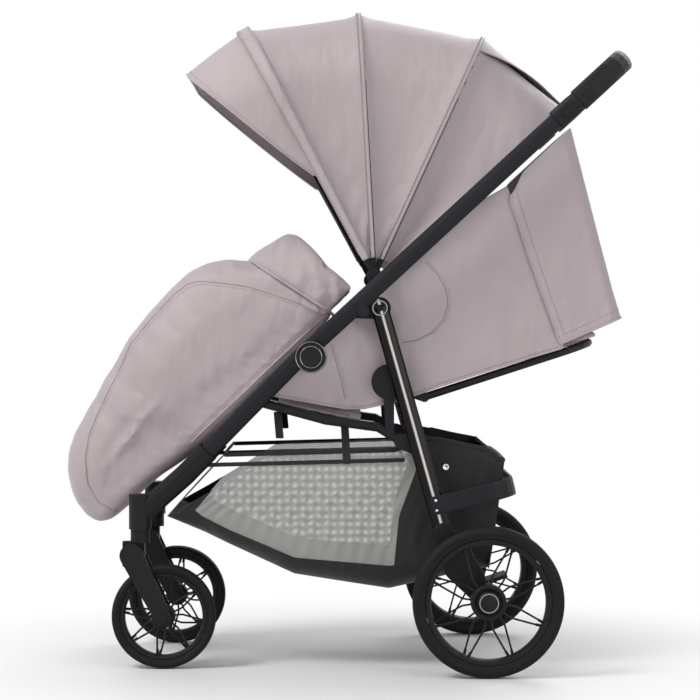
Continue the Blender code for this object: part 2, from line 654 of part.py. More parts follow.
def pad(start, slope, length, half, depth, channels=3, nx=14, ny=18):
    """A cushion on a sloping base: crowned top, rounded rim, drawn-in sides and sewn channels."""
    bm = bmesh.new()
    rows = []
    for j in range(ny + 1):
        v = j / ny
        row = []
        for i in range(nx + 1):
            u = 2 * i / nx - 1
            w = half * (1 - 0.02 * math.sin(math.pi * v))
            rim = min(1.0, (1 - abs(u)) * 7) * min(1.0, min(v, 1 - v) * 9)
            lift = depth * (0.5 + 0.3 * math.sqrt(rim) + 0.2 * (1 - u * u) * rim)
            lift -= rim * depth * 0.16 * (0.5 + 0.5 * math.cos(2 * math.pi * channels * v)) ** 3
            row.append((u * w, v * length, lift))
        rows.append(row)
    top = [[bm.verts.new(at(x, shift(start, slope, s, n))) for x, s, n in row] for row in rows]
    for a, b in zip(top, top[1:]):
        for i in range(nx):
            bm.faces.new((a[i], a[i + 1], b[i + 1], b[i]))
    rim = grid_rim(ny + 1, nx + 1)
    foot = [bm.verts.new(at(rows[j][i][0], shift(start, slope, rows[j][i][1], 0))) for j, i in rim]
    for n in range(len(rim)):
        m = (n + 1) % len(rim)
        bm.faces.new((top[rim[m][0]][rim[m][1]], top[rim[n][0]][rim[n][1]], foot[n], foot[m]))
    bm.faces.new(foot)
    return tidy(bm)


def grid_rim(rows, cols):
    rim = [(0, i) for i in range(cols)] + [(j, cols - 1) for j in range(1, rows)]
    return rim + [(rows - 1, i) for i in range(cols - 2, -1, -1)] + [(j, 0) for j in range(rows - 2, 0, -1)]


def close_grid(bm, top, low):
    rows, cols = len(top), len(top[0])
    for j in range(rows - 1):
        for i in range(cols - 1):
            bm.faces.new((top[j][i], top[j][i + 1], top[j + 1][i + 1], top[j + 1][i]))
            bm.faces.new((low[j + 1][i], low[j + 1][i + 1], low[j][i + 1], low[j][i]))
    rim = grid_rim(rows, cols)
    for a, b in zip(rim, rim[1:] + rim[:1]):
        bm.faces.new((top[b[0]][b[1]], top[a[0]][a[1]], low[a[0]][a[1]], low[b[0]][b[1]]))


def sheet(grid, thickness):
    """A closed sheet of cloth through a grid of points."""
    bm = bmesh.new()
    rows, cols = len(grid), len(grid[0])
    top, low = [], []
    for j in range(rows):
        top.append([])
        low.append([])
        for i in range(cols):
            across = grid[j][min(i + 1, cols - 1)] - grid[j][max(i - 1, 0)]
            along = grid[min(j + 1, rows - 1)][i] - grid[max(j - 1, 0)][i]
            n = across.cross(along).normalized() * thickness / 2
            top[j].append(bm.verts.new(grid[j][i] + n))
            low[j].append(bm.verts.new(grid[j][i] - n))
    close_grid(bm, top, low)
    return tidy(bm)


inside = SEAT_TUBE_X - SEAT_TUBE_RADIUS - GAP
board_start = (SEAT_PAD_FRONT + 0.006, seat_tube_z(SEAT_PAD_FRONT + 0.006))
board_end = (SEAT_PAD_BACK - 0.006, seat_tube_z(SEAT_PAD_BACK - 0.006))
board_slope = math.degrees(math.atan2(board_end[1] - board_start[1], board_end[0] - board_start[0]))
board_length = math.dist(board_start, board_end)
board = prism([shift(board_start, board_slope, r, w) for r, w in
               ((0, -0.003), (board_length, -0.003), (board_length, 0.003), (0, 0.003))], -inside, inside)
piece("seat_board", board, "taupe_cloth", "front_frame")
base = shift(board_start, board_slope, -0.004, 0.003 + GAP)
piece("seat_pad", pad(base, board_slope, board_length + 0.006, WALL_X - WALL_THICKNESS / 2 - GAP, SEAT_PAD, 2, 10, 9),
      "taupe_cloth", "front_frame", 60)

back_start = shift(RECLINE, BACK_SLOPE, 0, -BACK_DROP)
back = u_path(BACK_TUBE_X, 0.045, BACK_LENGTH, 0.060, lambda s: shift(back_start, BACK_SLOPE, s))
frame = tube(back, (0, -turn(BACK_SLOPE)[1], turn(BACK_SLOPE)[0]), BACK_TUBE_RADIUS, BACK_TUBE_RADIUS, 8, 2)
plate_in = BACK_TUBE_X - 0.0025
plate_out = WALL_X - WALL_THICKNESS / 2 - 0.0008
links = [prism(hull_outline([(*RECLINE, 0.014), (*shift(back_start, BACK_SLOPE, 0.050), 0.0085)]),
               sign * plate_in, sign * plate_out) for side, sign in SIDES]
frame = merge(frame, links)
bore = (RECLINE_PIN + GAP) / math.cos(math.pi / 16)
frame = cut(frame, [disc(bore, -0.3, 0.3, RECLINE, 16)])
piece("backrest_frame", frame, "frame_paint", "backrest")
rest = pad(shift(back_start, BACK_SLOPE, 0.012, BACK_TUBE_RADIUS + GAP), BACK_SLOPE, BACK_LENGTH + 0.002,
           plate_in - 0.0035, BACK_PAD, 4, 10, 17)
piece("backrest_pad", rest, "taupe_cloth", "backrest", 60)
for side, sign in SIDES:
    cover = disc(RECLINE_COVER, sign * (WALL_X + WALL_THICKNESS / 2 + GAP), sign * (PLATE_OUTER - 0.001), RECLINE, 32)
    pin = disc(RECLINE_PIN, sign * (plate_in - 0.001), sign * (PLATE_OUTER - 0.003), RECLINE, 16)
    piece(f"recline_cover_{side}", merge(cover, [pin]), "black_plastic", "recline_bracket")

# Side cloths of the seat, between the side tube and the seat's lower edge
WALL = ((-0.1400, 0.4720), (-0.0074, 0.4482), (0.0234, 0.4482), (0.0866, 0.4619), (0.1669, 0.4909),
        (0.2917, 0.5302), (0.3680, 0.5530), (0.2740, 0.8240), on_tube(0.2300, -0.016),
        on_tube(-0.0800, -0.016), on_tube(-0.2150, -0.024))
for side, sign in SIDES:
    wall = prism(WALL, sign * (WALL_X - WALL_THICKNESS / 2), sign * (WALL_X + WALL_THICKNESS / 2))
    wall = cut(wall, [disc(RECLINE_PIN + 0.002, sign * 0.17, sign * 0.2, RECLINE, 20)])
    piece(f"seat_side_{side}", wall, "taupe_cloth", "upper_frame")

# Back cover hanging from the handle, with its folds
DRAPE_X = 0.1918
DRAPE_THICKNESS = 0.0030
DRAPE_FRONT = ((0.2673, 0.8270), (0.3120, 0.6930), (0.3610, 0.5590))
DRAPE_REAR = ((0.3785, 0.9300), (0.4280, 0.7383), (0.4635, 0.6034))
DRAPE_FOLD = 0.004
DRAPE_FOLDS = 5


def between(points, share):
    place = share * (len(points) - 1)
    i = min(int(place), len(points) - 2)
    f = place - i
    return [a + (b - a) * f for a, b in zip(points[i], points[i + 1])]


rows = []
for j in range(6):
    v = j / 5
    front, rear = between(DRAPE_FRONT, v), between(DRAPE_REAR, v)
    row = []
    for i in range(31):
        u = i / 30
        run = min(u, 1 - u) / 0.22
        side_x = DRAPE_X if u < 0.5 else -DRAPE_X
        if run < 1:
            e = 1 - (1 - run) ** 1.0
            curl = max(0.0, run - 0.75) / 0.25
            x = side_x * (1 - 0.06 * curl * curl)
            p = [front[0] + (rear[0] - front[0]) * e, front[1] + (rear[1] - front[1]) * e]
        else:
            w = (u - 0.22) / 0.56
            x = DRAPE_X * 0.94 * (1 - 2 * w)
            bulge = DRAPE_FOLD * v * (1 - math.cos(2 * math.pi * DRAPE_FOLDS * w)) / 2
            p = [rear[0] - bulge, rear[1]]
        row.append(at(x, p))
    rows.append(row)
piece("back_cover", sheet(rows, DRAPE_THICKNESS), "taupe_cloth", "upper_frame", 60)

# Footmuff, along the side tube and across it: station, underside, top, half width
MUFF_WALL = 0.006
MUFF = (
    (-0.022, 0.018, 0.110, 0.205), (-0.034, 0.018, 0.166, 0.212), (-0.070, 0.018, 0.172, 0.216),
    (-0.114, 0.014, 0.184, 0.216), (-0.138, 0.006, 0.219, 0.215), (-0.168, 0.002, 0.237, 0.212),
    (-0.208, -0.002, 0.2424, 0.208), (-0.250, -0.004, 0.2424, 0.203), (-0.300, -0.004, 0.238, 0.195),
    (-0.353, -0.002, 0.231, 0.182), (-0.434, 0.006, 0.208, 0.152), (-0.490, 0.014, 0.190, 0.137),
    (-0.540, 0.016, 0.175, 0.133), (-0.576, 0.012, 0.160, 0.130), (-0.601, 0.012, 0.140, 0.122),
    (-0.620, 0.024, 0.113, 0.108), (-0.633, 0.044, 0.084, 0.080),
)


def muff_loft(stations, inset, sides=14):
    bm = bmesh.new()
    rings = []
    for along, low, high, half in stations:
        ring = []
        tall = (high - low) / 2 - inset
        crown, sole = oval(half - inset, tall, sides, 4.5), oval(half - inset, tall, sides, 12)
        for a, b in crown[:sides // 2] + sole[sides // 2:]:
            ring.append(at(a, on_tube(along, (low + high) / 2 + b)))
        rings.append(add_ring(bm, ring))
    skin(bm, rings)
    return tidy(bm)


hollow = [(0.010, *MUFF[0][1:])] + list(MUFF[:-2])
muff = cut(muff_loft(MUFF, 0), [muff_loft(hollow[::2], MUFF_WALL)])
muff = cut(muff, [tube(leg_path(sign)[1:], (1, 0, 0), TUBE_WIDTH / 2 + GAP, TUBE_DEPTH / 2 + GAP, 12)
                  for side, sign in SIDES])
piece("footmuff", muff, "taupe_cloth", "front_frame", 60)

# Basket: outline in the side view, with its straps up to the seat tubes
BASKET_X = 0.180
BASKET_WALL = 0.004
STRAP_Y = (-0.1300, -0.0150)
BASKET = ((-0.2150, 0.3700), (0.0800, 0.3780), (0.1300, 0.4000), (0.2360, 0.3800), (0.2660, 0.3580),
          (0.2620, 0.3250), (0.2401, 0.1701), (0.0869, 0.1375), (-0.0845, 0.1632), (-0.2044, 0.2146),
          (-0.3120, 0.2640))
BASKET_ROOM = ((-0.2030, 0.5000), (0.2560, 0.5000), (0.2580, 0.3260), (0.2365, 0.1740), (0.0869, 0.1420),
               (-0.0835, 0.1675), (-0.2020, 0.2190), (-0.3010, 0.2665), (-0.2100, 0.3600))
bag = prism(BASKET, -BASKET_X, BASKET_X)
bag = cut(bag, [prism(BASKET_ROOM, -BASKET_X + BASKET_WALL, BASKET_X - BASKET_WALL)])
straps = []
for side, sign in SIDES:
    for y in STRAP_Y:
        z = seat_tube_z(y + 0.014) - SEAT_TUBE_RADIUS * 0.45
        straps.append(box(sign * (BASKET_X - 0.003), sign * (BASKET_X + 0.0015), y, y + 0.014, 0.360, z))
        straps.append(box(sign * BASKET_X, sign * (inside + 0.0006), y, y + 0.014, z - 0.006, z))
piece("basket", merge(bag, straps), "grey_mesh", "front_frame")

# Folding hood: hoops turn on one pivot, cloth panels between them, visor on the front hoop
HOOP_ANGLE = (65.3, 93.2, 117.8)
HOOP_RADIUS = (0.4543, 0.4549, 0.4816)
HOOP_WIDE = 0.005
HOOP_THICK = 0.003
HOOD_END_ANGLE = 44.6
HOOD_END_RADIUS = 0.4447
HOOD_END_X = 0.2045
HOOD_CORNER = 0.125
PANEL = 0.0024
PANEL_FOOT = 0.060
VISOR_SLOPE = 216.8
VISOR_REACH = 0.1213
VISOR_FOOT = 0.200
HOOPS = ("rear", "mid", "front")
parent = "upper_frame"
for name in HOOPS:
    pivot(f"hood_{name}", at(0, HOOD_PIVOT), parent)
    parent = f"hood_{name}"


def hood_path(half, radius, foot, arm=4, bend=5, top=2):
    """(x, radius) pairs of a hoop's run from one foot over the top to the other."""
    corner = HOOD_CORNER
    run = [(half, foot + (radius - corner - foot) * i / arm) for i in range(arm)]
    for i in range(bend + 1):
        c, s = turn(90 * i / bend)
        run.append((half - corner + corner * c, radius - corner + corner * s))
    flat = half - corner
    run += [(flat - flat * i / top, radius) for i in range(1, top + 1)]
    return run + [(-x, r) for x, r in reversed(run[:-1])]


def hood_point(x, radius, angle):
    return at(x, shift(HOOD_PIVOT, angle, radius))


for k, name in enumerate(HOOPS):
    angle, radius, half = HOOP_ANGLE[k], HOOP_RADIUS[k], HOOP_X[k]
    path = [hood_point(x, r, angle) for x, r in hood_path(half, radius, 0.004, 1, 6, 1)]
    c, s = turn(angle)
    hoop = tube(path, (0, -s, c), HOOP_WIDE, HOOP_THICK, 4, 8)
    eyes = [disc(0.0090, sign * (half - HOOP_THICK), sign * (half + HOOP_THICK), HOOD_PIVOT, 14) for sd, sign in SIDES]
    bore = (0.0035 + GAP) / math.cos(math.pi / 10)
    hoop = merge(hoop, eyes)
    hoop = cut(hoop, [disc(bore, -0.3, 0.3, HOOD_PIVOT, 10)])
    piece(f"hood_hoop_{name}", hoop, "frame_paint", f"hood_{name}")

ENDS = [(HOOD_END_ANGLE, HOOD_END_RADIUS, HOOD_END_X)] + list(zip(HOOP_ANGLE, HOOP_RADIUS, HOOP_X))
for k, name in enumerate(HOOPS):
    (a0, r0, x0), (a1, r1, x1) = ENDS[k], ENDS[k + 1]
    rows = []
    for j in range(5):
        v = j / 4
        sag = 0.007 * math.sin(math.pi * v)
        path = hood_path(x0 + (x1 - x0) * v, r0 + (r1 - r0) * v - sag, PANEL_FOOT)
        row = []
        for x, r in path:
            room = math.degrees((HOOP_WIDE + GAP) / r)
            low, high = a0 + (room if k else 0), a1 - room
            row.append(hood_point(x, r, low + (high - low) * v))
        rows.append(row)
    body = "upper_frame" if k == 0 else f"hood_{HOOPS[k - 1]}"
    piece(f"hood_panel_{name}", sheet(rows, PANEL), "taupe_cloth", body, 60)

rows = []
angle, radius, half = HOOP_ANGLE[2], HOOP_RADIUS[2], HOOP_X[2]
for j in range(4):
    v = j / 3
    row = []
    for x, r in hood_path(half, radius, VISOR_FOOT, 3, 5, 2):
        share = min(1.0, (r - VISOR_FOOT + 0.02) / (radius - VISOR_FOOT))
        start = angle + math.degrees((HOOP_WIDE + GAP * 2.5) / r)
        p = shift(HOOD_PIVOT, start, r)
        reach = max(0.004, (VISOR_REACH - HOOP_WIDE) * share)
        row.append(at(x * (1 - 0.04 * v), shift(p, VISOR_SLOPE - 6 * (1 - v), reach * v)))
    rows.append(row)
piece("hood_visor", sheet(rows, PANEL), "taupe_cloth", "hood_front", 60)
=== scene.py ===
import bisect
import math

import bmesh
import bpy
from mathutils import Matrix, Vector
from mathutils.bvhtree import BVHTree


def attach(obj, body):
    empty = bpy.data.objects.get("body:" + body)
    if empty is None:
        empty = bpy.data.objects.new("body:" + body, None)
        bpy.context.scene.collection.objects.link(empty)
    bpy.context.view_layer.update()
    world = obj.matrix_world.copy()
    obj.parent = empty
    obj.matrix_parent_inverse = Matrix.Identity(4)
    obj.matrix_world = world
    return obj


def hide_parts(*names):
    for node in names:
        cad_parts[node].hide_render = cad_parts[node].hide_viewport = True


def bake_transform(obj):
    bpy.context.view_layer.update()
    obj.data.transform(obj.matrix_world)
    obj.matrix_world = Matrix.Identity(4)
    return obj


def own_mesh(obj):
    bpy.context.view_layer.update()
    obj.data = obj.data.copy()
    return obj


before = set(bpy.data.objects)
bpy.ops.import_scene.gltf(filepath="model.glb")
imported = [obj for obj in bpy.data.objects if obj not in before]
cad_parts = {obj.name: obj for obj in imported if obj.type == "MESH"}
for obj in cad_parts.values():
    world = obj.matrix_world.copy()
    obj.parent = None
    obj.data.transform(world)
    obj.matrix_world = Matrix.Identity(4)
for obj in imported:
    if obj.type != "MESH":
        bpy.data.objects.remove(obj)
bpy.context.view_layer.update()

sides = {"left": 1, "right": -1}
scene = bpy.context.scene

# Places shared by several pieces, in metres. Side-view places are (y, z) pairs.
# the rear leg's pivot and slope, and where the painted highlight streak on its chrome lies: shift from the
# leg's middle, half width and bright core
rearLeg = {"pivot": (0.05174, 0.62032), "slope": 74.28, "paintedStreak": 0.0010, "paintedStreakHalf": 0.0034,
           "paintedStreakCore": 0.0006}
tube = {"y": 0.0358, "z": 0.6463, "slope": 42.7}
studio = {"floorSize": 14.0, "floorTone": (236, 236, 236), "fadeStart": 0.32, "fadeEnd": 0.95,
          "worldStrength": 0.50, "lens": 118.3, "lampAim": (0, 0, 0.5),
          "cameraPlace": (4.12, -0.0125, 0.600), "cameraAim": (0.0, 0.0018, 0.5463),
          "photoCentre": (342, 320), "photoLens": 2300,
          "lamps": (("keyLamp", (1.6, -2.3, 3.2), 1.3, 88), ("fillLamp", (2.8, 2.4, 1.6), 2.0, 24),
                    ("backLamp", (-2.6, 1.2, 2.6), 2.0, 34))}


def turn(degrees):
    a = math.radians(degrees)
    return math.cos(a), math.sin(a)


def shifted(point, degrees, distance, across=0.0):
    c, s = turn(degrees)
    return point[0] + distance * c - across * s, point[1] + distance * s + across * c


def onTube(distance, across):
    return shifted((tube["y"], tube["z"]), tube["slope"], distance, across)


def along(p, start, slope):  # how far a point is along a sloped line in the side view, and how far above it
    c, s = turn(slope)
    dy, dz = p.y - start[0], p.z - start[1]
    return dy * c + dz * s, -dy * s + dz * c


def at(x, point):
    return Vector((x, point[0], point[1]))


def mix(a, b, f):
    return a + (b - a) * f


def clamped(f):
    return min(1.0, max(0.0, f))


def ease(f):
    f = clamped(f)
    return f * f * (3 - 2 * f)


def bell(distance, width):
    return math.exp(-((distance / width) ** 2))


def hump(f):  # nought at 0 and 1, one halfway
    return math.sin(math.pi * f)


def sampled(count, place):  # place(f) at even steps from 0 to 1, both ends included
    return [place(i / count) for i in range(count + 1)]


def follow(points, share):  # a point on a polyline, by the share of its length
    lengths = [math.dist(a, b) for a, b in zip(points, points[1:])]
    left = clamped(share) * sum(lengths)
    for a, b, size in zip(points, points[1:], lengths):
        if left <= size or b == points[-1]:
            return tuple(mix(p, q, min(1.0, left / size)) for p, q in zip(a, b))
        left -= size


def station(rows, place):  # values between rows that are sorted downwards by their first number
    for a, b in zip(rows, rows[1:]):
        if place >= b[0] or b == rows[-1]:
            run = (place - a[0]) / (b[0] - a[0])
            f = ease(run) * 0.5 + 0.5 * clamped(run)
            return [mix(p, q, f) for p, q in zip(a[1:], b[1:])]


def fromPhoto(px, py, x):  # a place of the photograph at a given x, by the camera's own numbers
    far, y, z = studio["cameraPlace"]
    k = (far - abs(x)) / studio["photoLens"]
    return (px - studio["photoCentre"][0]) * k + y, z - (py - studio["photoCentre"][1]) * k


def colour(r, g, b):
    return [v / 255 / 12.92 if v < 11 else ((v / 255 + 0.055) / 1.055) ** 2.4 for v in (r, g, b)] + [1]


# Node groups: cloth weave, folds in cloth, and the grain of hard surfaces

def feed(tree, node, inputs):  # each input takes a number, a colour or another node's socket
    for spot, value in inputs.items():
        if isinstance(value, bpy.types.NodeSocket):
            tree.links.new(value, node.inputs[spot])
        else:
            node.inputs[spot].default_value = value


def addNode(tree, kind, inputs=None, **settings):
    node = tree.nodes.new("ShaderNode" + kind)
    for key, value in settings.items():
        setattr(node, key, value)
    feed(tree, node, inputs or {})
    return node.outputs


def newGroup(name, inputs, outputs):
    group = bpy.data.node_groups.new(name, "ShaderNodeTree")
    for way, names in (("INPUT", inputs), ("OUTPUT", outputs)):
        for spot in names:
            kind = "NodeSocketColor" if spot == "Colour" else "NodeSocketFloat"
            group.interface.new_socket(spot, in_out=way, socket_type=kind)
    return group, group.nodes.new("NodeGroupInput").outputs, group.nodes.new("NodeGroupOutput")


def mathNode(tree, operation, a, b=0):
    return addNode(tree, "Math", {0: a, 1: b}, operation=operation)[0]


def ranged(tree, value, low, high, start=0.0, end=1.0, kind="LINEAR"):
    spots = {"Value": value, "To Min": low, "To Max": high, "From Min": start, "From Max": end}
    return addNode(tree, "MapRange", spots, interpolation_type=kind)["Result"]


def placeOf(tree):
    return addNode(tree, "TexCoord")["Object"]


def noiseNode(tree, coord, scale, detail, stretch=(1, 1, 1)):
    place = addNode(tree, "Mapping", {"Vector": coord, "Scale": stretch})["Vector"]
    return addNode(tree, "TexNoise", {"Vector": place, "Scale": scale, "Detail": detail})["Fac"]


def tinted(tree, base, shade):
    return addNode(tree, "VectorMath", {"Vector": base, "Scale": shade}, operation="SCALE")["Vector"]


def weaveGroup():
    group, given, out = newGroup("clothWeave", ("Colour", "Threads", "Fade"), ("Colour", "Height"))
    coord = placeOf(group)
    waves = []
    for lean in (0.7, -0.7):  # two thread directions
        place = addNode(group, "Mapping", {"Vector": coord, "Rotation": (lean, 0.15, lean / 2)})["Vector"]
        spots = {"Vector": place, "Scale": given["Threads"], "Distortion": 0.6}
        waves.append(addNode(group, "TexWave", spots, bands_direction="Z")["Fac"])
    weave = mathNode(group, "MULTIPLY", *waves)
    blotches = ranged(group, noiseNode(group, coord, 18, 5), -0.5, 0.5)
    drift = mathNode(group, "MULTIPLY", blotches, given["Fade"])
    shade = mathNode(group, "ADD", mathNode(group, "ADD", drift, 0.96), ranged(group, weave, -0.04, 0.10))
    feed(group, out, {"Colour": tinted(group, given["Colour"], shade), "Height": weave})
    return group


def creaseGroup():
    group, given, out = newGroup("clothCreases", ("Size",), ("Height",))
    coord = placeOf(group)
    broad = noiseNode(group, coord, 7, 2, (0.6, 1.5, 0.8))
    sharp = noiseNode(group, coord, 19, 1, (0.5, 1.7, 0.7))
    ridge = mathNode(group, "ABSOLUTE", mathNode(group, "SUBTRACT", sharp, 0.5))
    total = mathNode(group, "ADD", broad, mathNode(group, "MULTIPLY", ridge, 0.35))
    feed(group, out, {"Height": mathNode(group, "MULTIPLY", total, given["Size"])})
    return group


def grainGroup():
    names = ("Colour", "Grain", "Roughness", "EdgeLift")
    group, given, out = newGroup("surfaceGrain", names, ("Colour", "Roughness", "Height"))
    coord = placeOf(group)
    cells = addNode(group, "TexVoronoi", {"Vector": coord, "Scale": given["Grain"]})["Distance"]
    drift = noiseNode(group, coord, 16, 6)
    # lighter on sharp convex edges, by as much as the edge lift setting asks
    edge = ranged(group, addNode(group, "NewGeometry")["Pointiness"], 0.0, 1.0, 0.52, 0.60)
    liftedEdge = mathNode(group, "MULTIPLY", edge, given["EdgeLift"])
    shade = mathNode(group, "ADD", ranged(group, drift, 0.86, 1.14), liftedEdge)
    rough = mathNode(group, "ADD", given["Roughness"], ranged(group, drift, -0.06, 0.08))
    feed(group, out, {"Colour": tinted(group, given["Colour"], shade), "Roughness": rough, "Height": cells})
    return group


weaveNodes = weaveGroup()
creaseNodes = creaseGroup()
grainNodes = grainGroup()


def startMaterial(name):
    mat = bpy.data.materials.new(name)
    mat.use_nodes = True
    return mat, mat.node_tree, mat.node_tree.nodes["Principled BSDF"]


def bumped(tree, height, strength, distance, **under):
    spots = {"Height": height, "Strength": strength, "Distance": distance, **under}
    return addNode(tree, "Bump", spots)["Normal"]


def clothMaterial(name, tone, threads=1400, roughness=0.62, sheen=0.3, weave=0.35, creases=1.0, fade=0.10):
    mat, tree, shader = startMaterial(name)
    spots = {"Colour": colour(*tone), "Threads": threads, "Fade": fade}
    woven = addNode(tree, "Group", spots, node_tree=weaveNodes)
    folds = addNode(tree, "Group", {"Size": 1.0}, node_tree=creaseNodes)["Height"]
    soft = bumped(tree, folds, 0.8 * creases, 0.018)
    feed(tree, shader, {"Normal": bumped(tree, woven["Height"], weave, 0.0004, Normal=soft),
                        "Base Color": woven["Colour"], "Roughness": roughness, "Sheen Weight": sheen,
                        "Sheen Roughness": 0.45, "Specular IOR Level": 0.4})
    return mat


def hardMaterial(name, tone, roughness, metallic=0.0, grain=1500, relief=0.15, edgeLift=0.25):
    mat, tree, shader = startMaterial(name)
    spots = {"Colour": colour(*tone), "Grain": grain, "Roughness": roughness, "EdgeLift": edgeLift}
    node = addNode(tree, "Group", spots, node_tree=grainNodes)
    feed(tree, shader, {"Base Color": node["Colour"], "Roughness": node["Roughness"], "Metallic": metallic,
                        "Normal": bumped(tree, node["Height"], relief, 0.0003),
                        "Specular IOR Level": 0.5 if metallic > 0.5 else 0.22})
    return mat


def netMaterial(name, tone, cells, solidShare):  # open mesh, with holes between the threads
    mat = clothMaterial(name, tone, 1800, 0.6, 0.2, 0.2, 0.8)
    tree = mat.node_tree
    place = addNode(tree, "SeparateXYZ", {"Vector": placeOf(tree)})
    facing = addNode(tree, "SeparateXYZ", {"Vector": addNode(tree, "NewGeometry")["True Normal"]})
    holes = 1.0
    for axis in range(3):
        lane = mathNode(tree, "FRACT", mathNode(tree, "MULTIPLY", place[axis], cells))
        lane = mathNode(tree, "GREATER_THAN", lane, solidShare)
        flat = mathNode(tree, "GREATER_THAN", mathNode(tree, "ABSOLUTE", facing[axis]), 0.75)
        holes = mathNode(tree, "MULTIPLY", holes, mathNode(tree, "MAXIMUM", lane, flat))
    feed(tree, tree.nodes["Principled BSDF"], {"Alpha": mathNode(tree, "SUBTRACT", 1.0, holes)})
    return mat


def chromeWithPaintedStreak(name, dark, bright):  # chrome whose dark base tone is a painted reflection of dark surroundings, with a painted highlight streak along the leg
    mat = hardMaterial(name, dark, 0.16, 0.75, 600, 0.02, 0.0)
    tree, shader = mat.node_tree, mat.node_tree.nodes["Principled BSDF"]
    c, s = turn(rearLeg["slope"])
    across = addNode(tree, "VectorMath", {0: placeOf(tree), 1: (0, s, c)}, operation="DOT_PRODUCT")["Value"]
    # painted highlight: a bright streak mixed into the base colour along the leg, a little off its middle
    middle = rearLeg["pivot"][0] * s + rearLeg["pivot"][1] * c + rearLeg["paintedStreak"]
    offCentre = mathNode(tree, "ABSOLUTE", mathNode(tree, "SUBTRACT", across, middle))
    paintedStreak = ranged(tree, offCentre, 0.0, 1.0, rearLeg["paintedStreakHalf"], rearLeg["paintedStreakCore"], "SMOOTHSTEP")
    base = shader.inputs["Base Color"].links[0].from_socket
    spots = {"Factor": paintedStreak, "A": base, "B": colour(*bright)}
    feed(tree, shader, {"Base Color": addNode(tree, "Mix", spots, data_type="RGBA")["Result"]})
    return mat


print("stage: materials")
looks = {
    "taupe": clothMaterial("taupeCloth", (180, 167, 170), roughness=0.46, sheen=0.15),
    "taupeSmooth": clothMaterial("taupeHoodCloth", (180, 167, 170), roughness=0.46, sheen=0.15, creases=0.7),
    # a darker copy of the taupe cloth as painted shade: the piping, hem and seam cords, the visor's zip line
    # and the front hood band's edge are real, their darker tone is painted shade
    "taupeShade": clothMaterial("taupeShadedCopy", (151, 140, 139)),
    "thread": clothMaterial("taupeThread", (147, 136, 135), 3000, 0.8, creases=0.1),
    "black": clothMaterial("blackCloth", (29, 28, 31), 1200, 0.8, 0.35),
    "webbing": clothMaterial("blackWebbing", (22, 22, 25), 700, 0.75, 0.3, 0.7, 0.2),
    "net": netMaterial("greyNet", (178, 177, 172), 820, 0.42),
    "paint": hardMaterial("matteBlackPaint", (25, 25, 30), 0.44, 0.1, 2400, 0.08),
    "legChrome": chromeWithPaintedStreak("legChromePaintedStreak", (24, 22, 22), (214, 206, 200)),
    "chrome": hardMaterial("ringChrome", (150, 148, 148), 0.14, 1.0, 600, 0.02, 0.1),
    "plastic": hardMaterial("blackPlastic", (18, 18, 21), 0.48, 0.0, 1900, 0.2),
    "trim": hardMaterial("brightTrim", (205, 205, 208), 0.14, 1.0, 800, 0.02, 0.1),
    "rubber": hardMaterial("tyreRubber", (19, 18, 20), 0.66, 0.0, 1500, 0.35, 0.15),
    "leather": hardMaterial("blackLeatherette", (22, 21, 24), 0.46, 0.0, 900, 0.25, 0.05),
}


# Mesh helpers

def linked(name, data):
    obj = bpy.data.objects.new(name, data)
    scene.collection.objects.link(obj)
    return obj


def meshed(name, bm, mats):  # a form turned into an object
    mesh = bpy.data.meshes.new(name)
    bm.to_mesh(mesh)
    bm.free()
    for mat in mats:
        mesh.materials.append(mat)
    return linked(name, mesh)


def opened(obj):  # an object's mesh as a form
    bm = bmesh.new()
    bm.from_mesh(obj.data)
    return bm


def modified(obj, kind, **settings):
    mod = obj.modifiers.new(kind.lower(), kind)
    for key, value in settings.items():
        setattr(mod, key, value)
    return mod


def evaluated(obj):
    return bpy.data.meshes.new_from_object(obj.evaluated_get(bpy.context.evaluated_depsgraph_get()))


def applied(obj):
    mesh = evaluated(obj)
    obj.modifiers.clear()
    obj.data = mesh
    return obj


def subdivided(obj):
    modified(obj, "SUBSURF", levels=1, render_levels=1)
    return applied(obj)


def finished(name, bm, look, angle=0, thickness=0.0, smooth=False):
    bmesh.ops.remove_doubles(bm, verts=bm.verts, dist=1e-6)
    bmesh.ops.recalc_face_normals(bm, faces=bm.faces)
    obj = meshed(name, bm, [looks[look]])
    obj.data.shade_smooth()
    if angle:
        obj.data.set_sharp_from_angle(angle=math.radians(angle))
    if thickness:
        modified(obj, "SOLIDIFY", thickness=thickness, offset=0.0)
    if smooth:
        return subdivided(obj)
    return applied(obj) if thickness else obj


def gridForm(cols, rows, place):  # a grid laid by place(u, v)
    bm = bmesh.new()
    bmesh.ops.create_grid(bm, x_segments=cols, y_segments=rows, size=0.5)
    for v in bm.verts:
        v.co = place(v.co.x + 0.5, v.co.y + 0.5)
    return bm


def cloth(name, cols, rows, place, look, thickness):
    return finished(name, gridForm(cols, rows, place), look, thickness=thickness, smooth=True)


def block(name, cuts, place, look):  # a closed form laid by place(a, b, c), each from -1 to 1
    bm = bmesh.new()
    bmesh.ops.create_cube(bm, size=2)
    bmesh.ops.subdivide_edges(bm, edges=bm.edges, cuts=cuts, use_grid_fill=True)
    for v in bm.verts:
        v.co = place(*v.co)
    return finished(name, bm, look)


def spun(name, profile, x, centre, look, steps=96, sign=1):  # (x, radius) pairs turned round the axle
    bm = bmesh.new()
    ring = [bm.verts.new(at(x + sign * p, shifted(centre, 0, r))) for p, r in profile]
    edges = [bm.edges.new((a, b)) for a, b in zip(ring, ring[1:] + ring[:1])]
    bmesh.ops.spin(bm, geom=ring + edges, cent=at(x, centre), axis=(1, 0, 0), angle=math.tau,
                   steps=steps, use_merge=True)
    return finished(name, bm, look, angle=40)


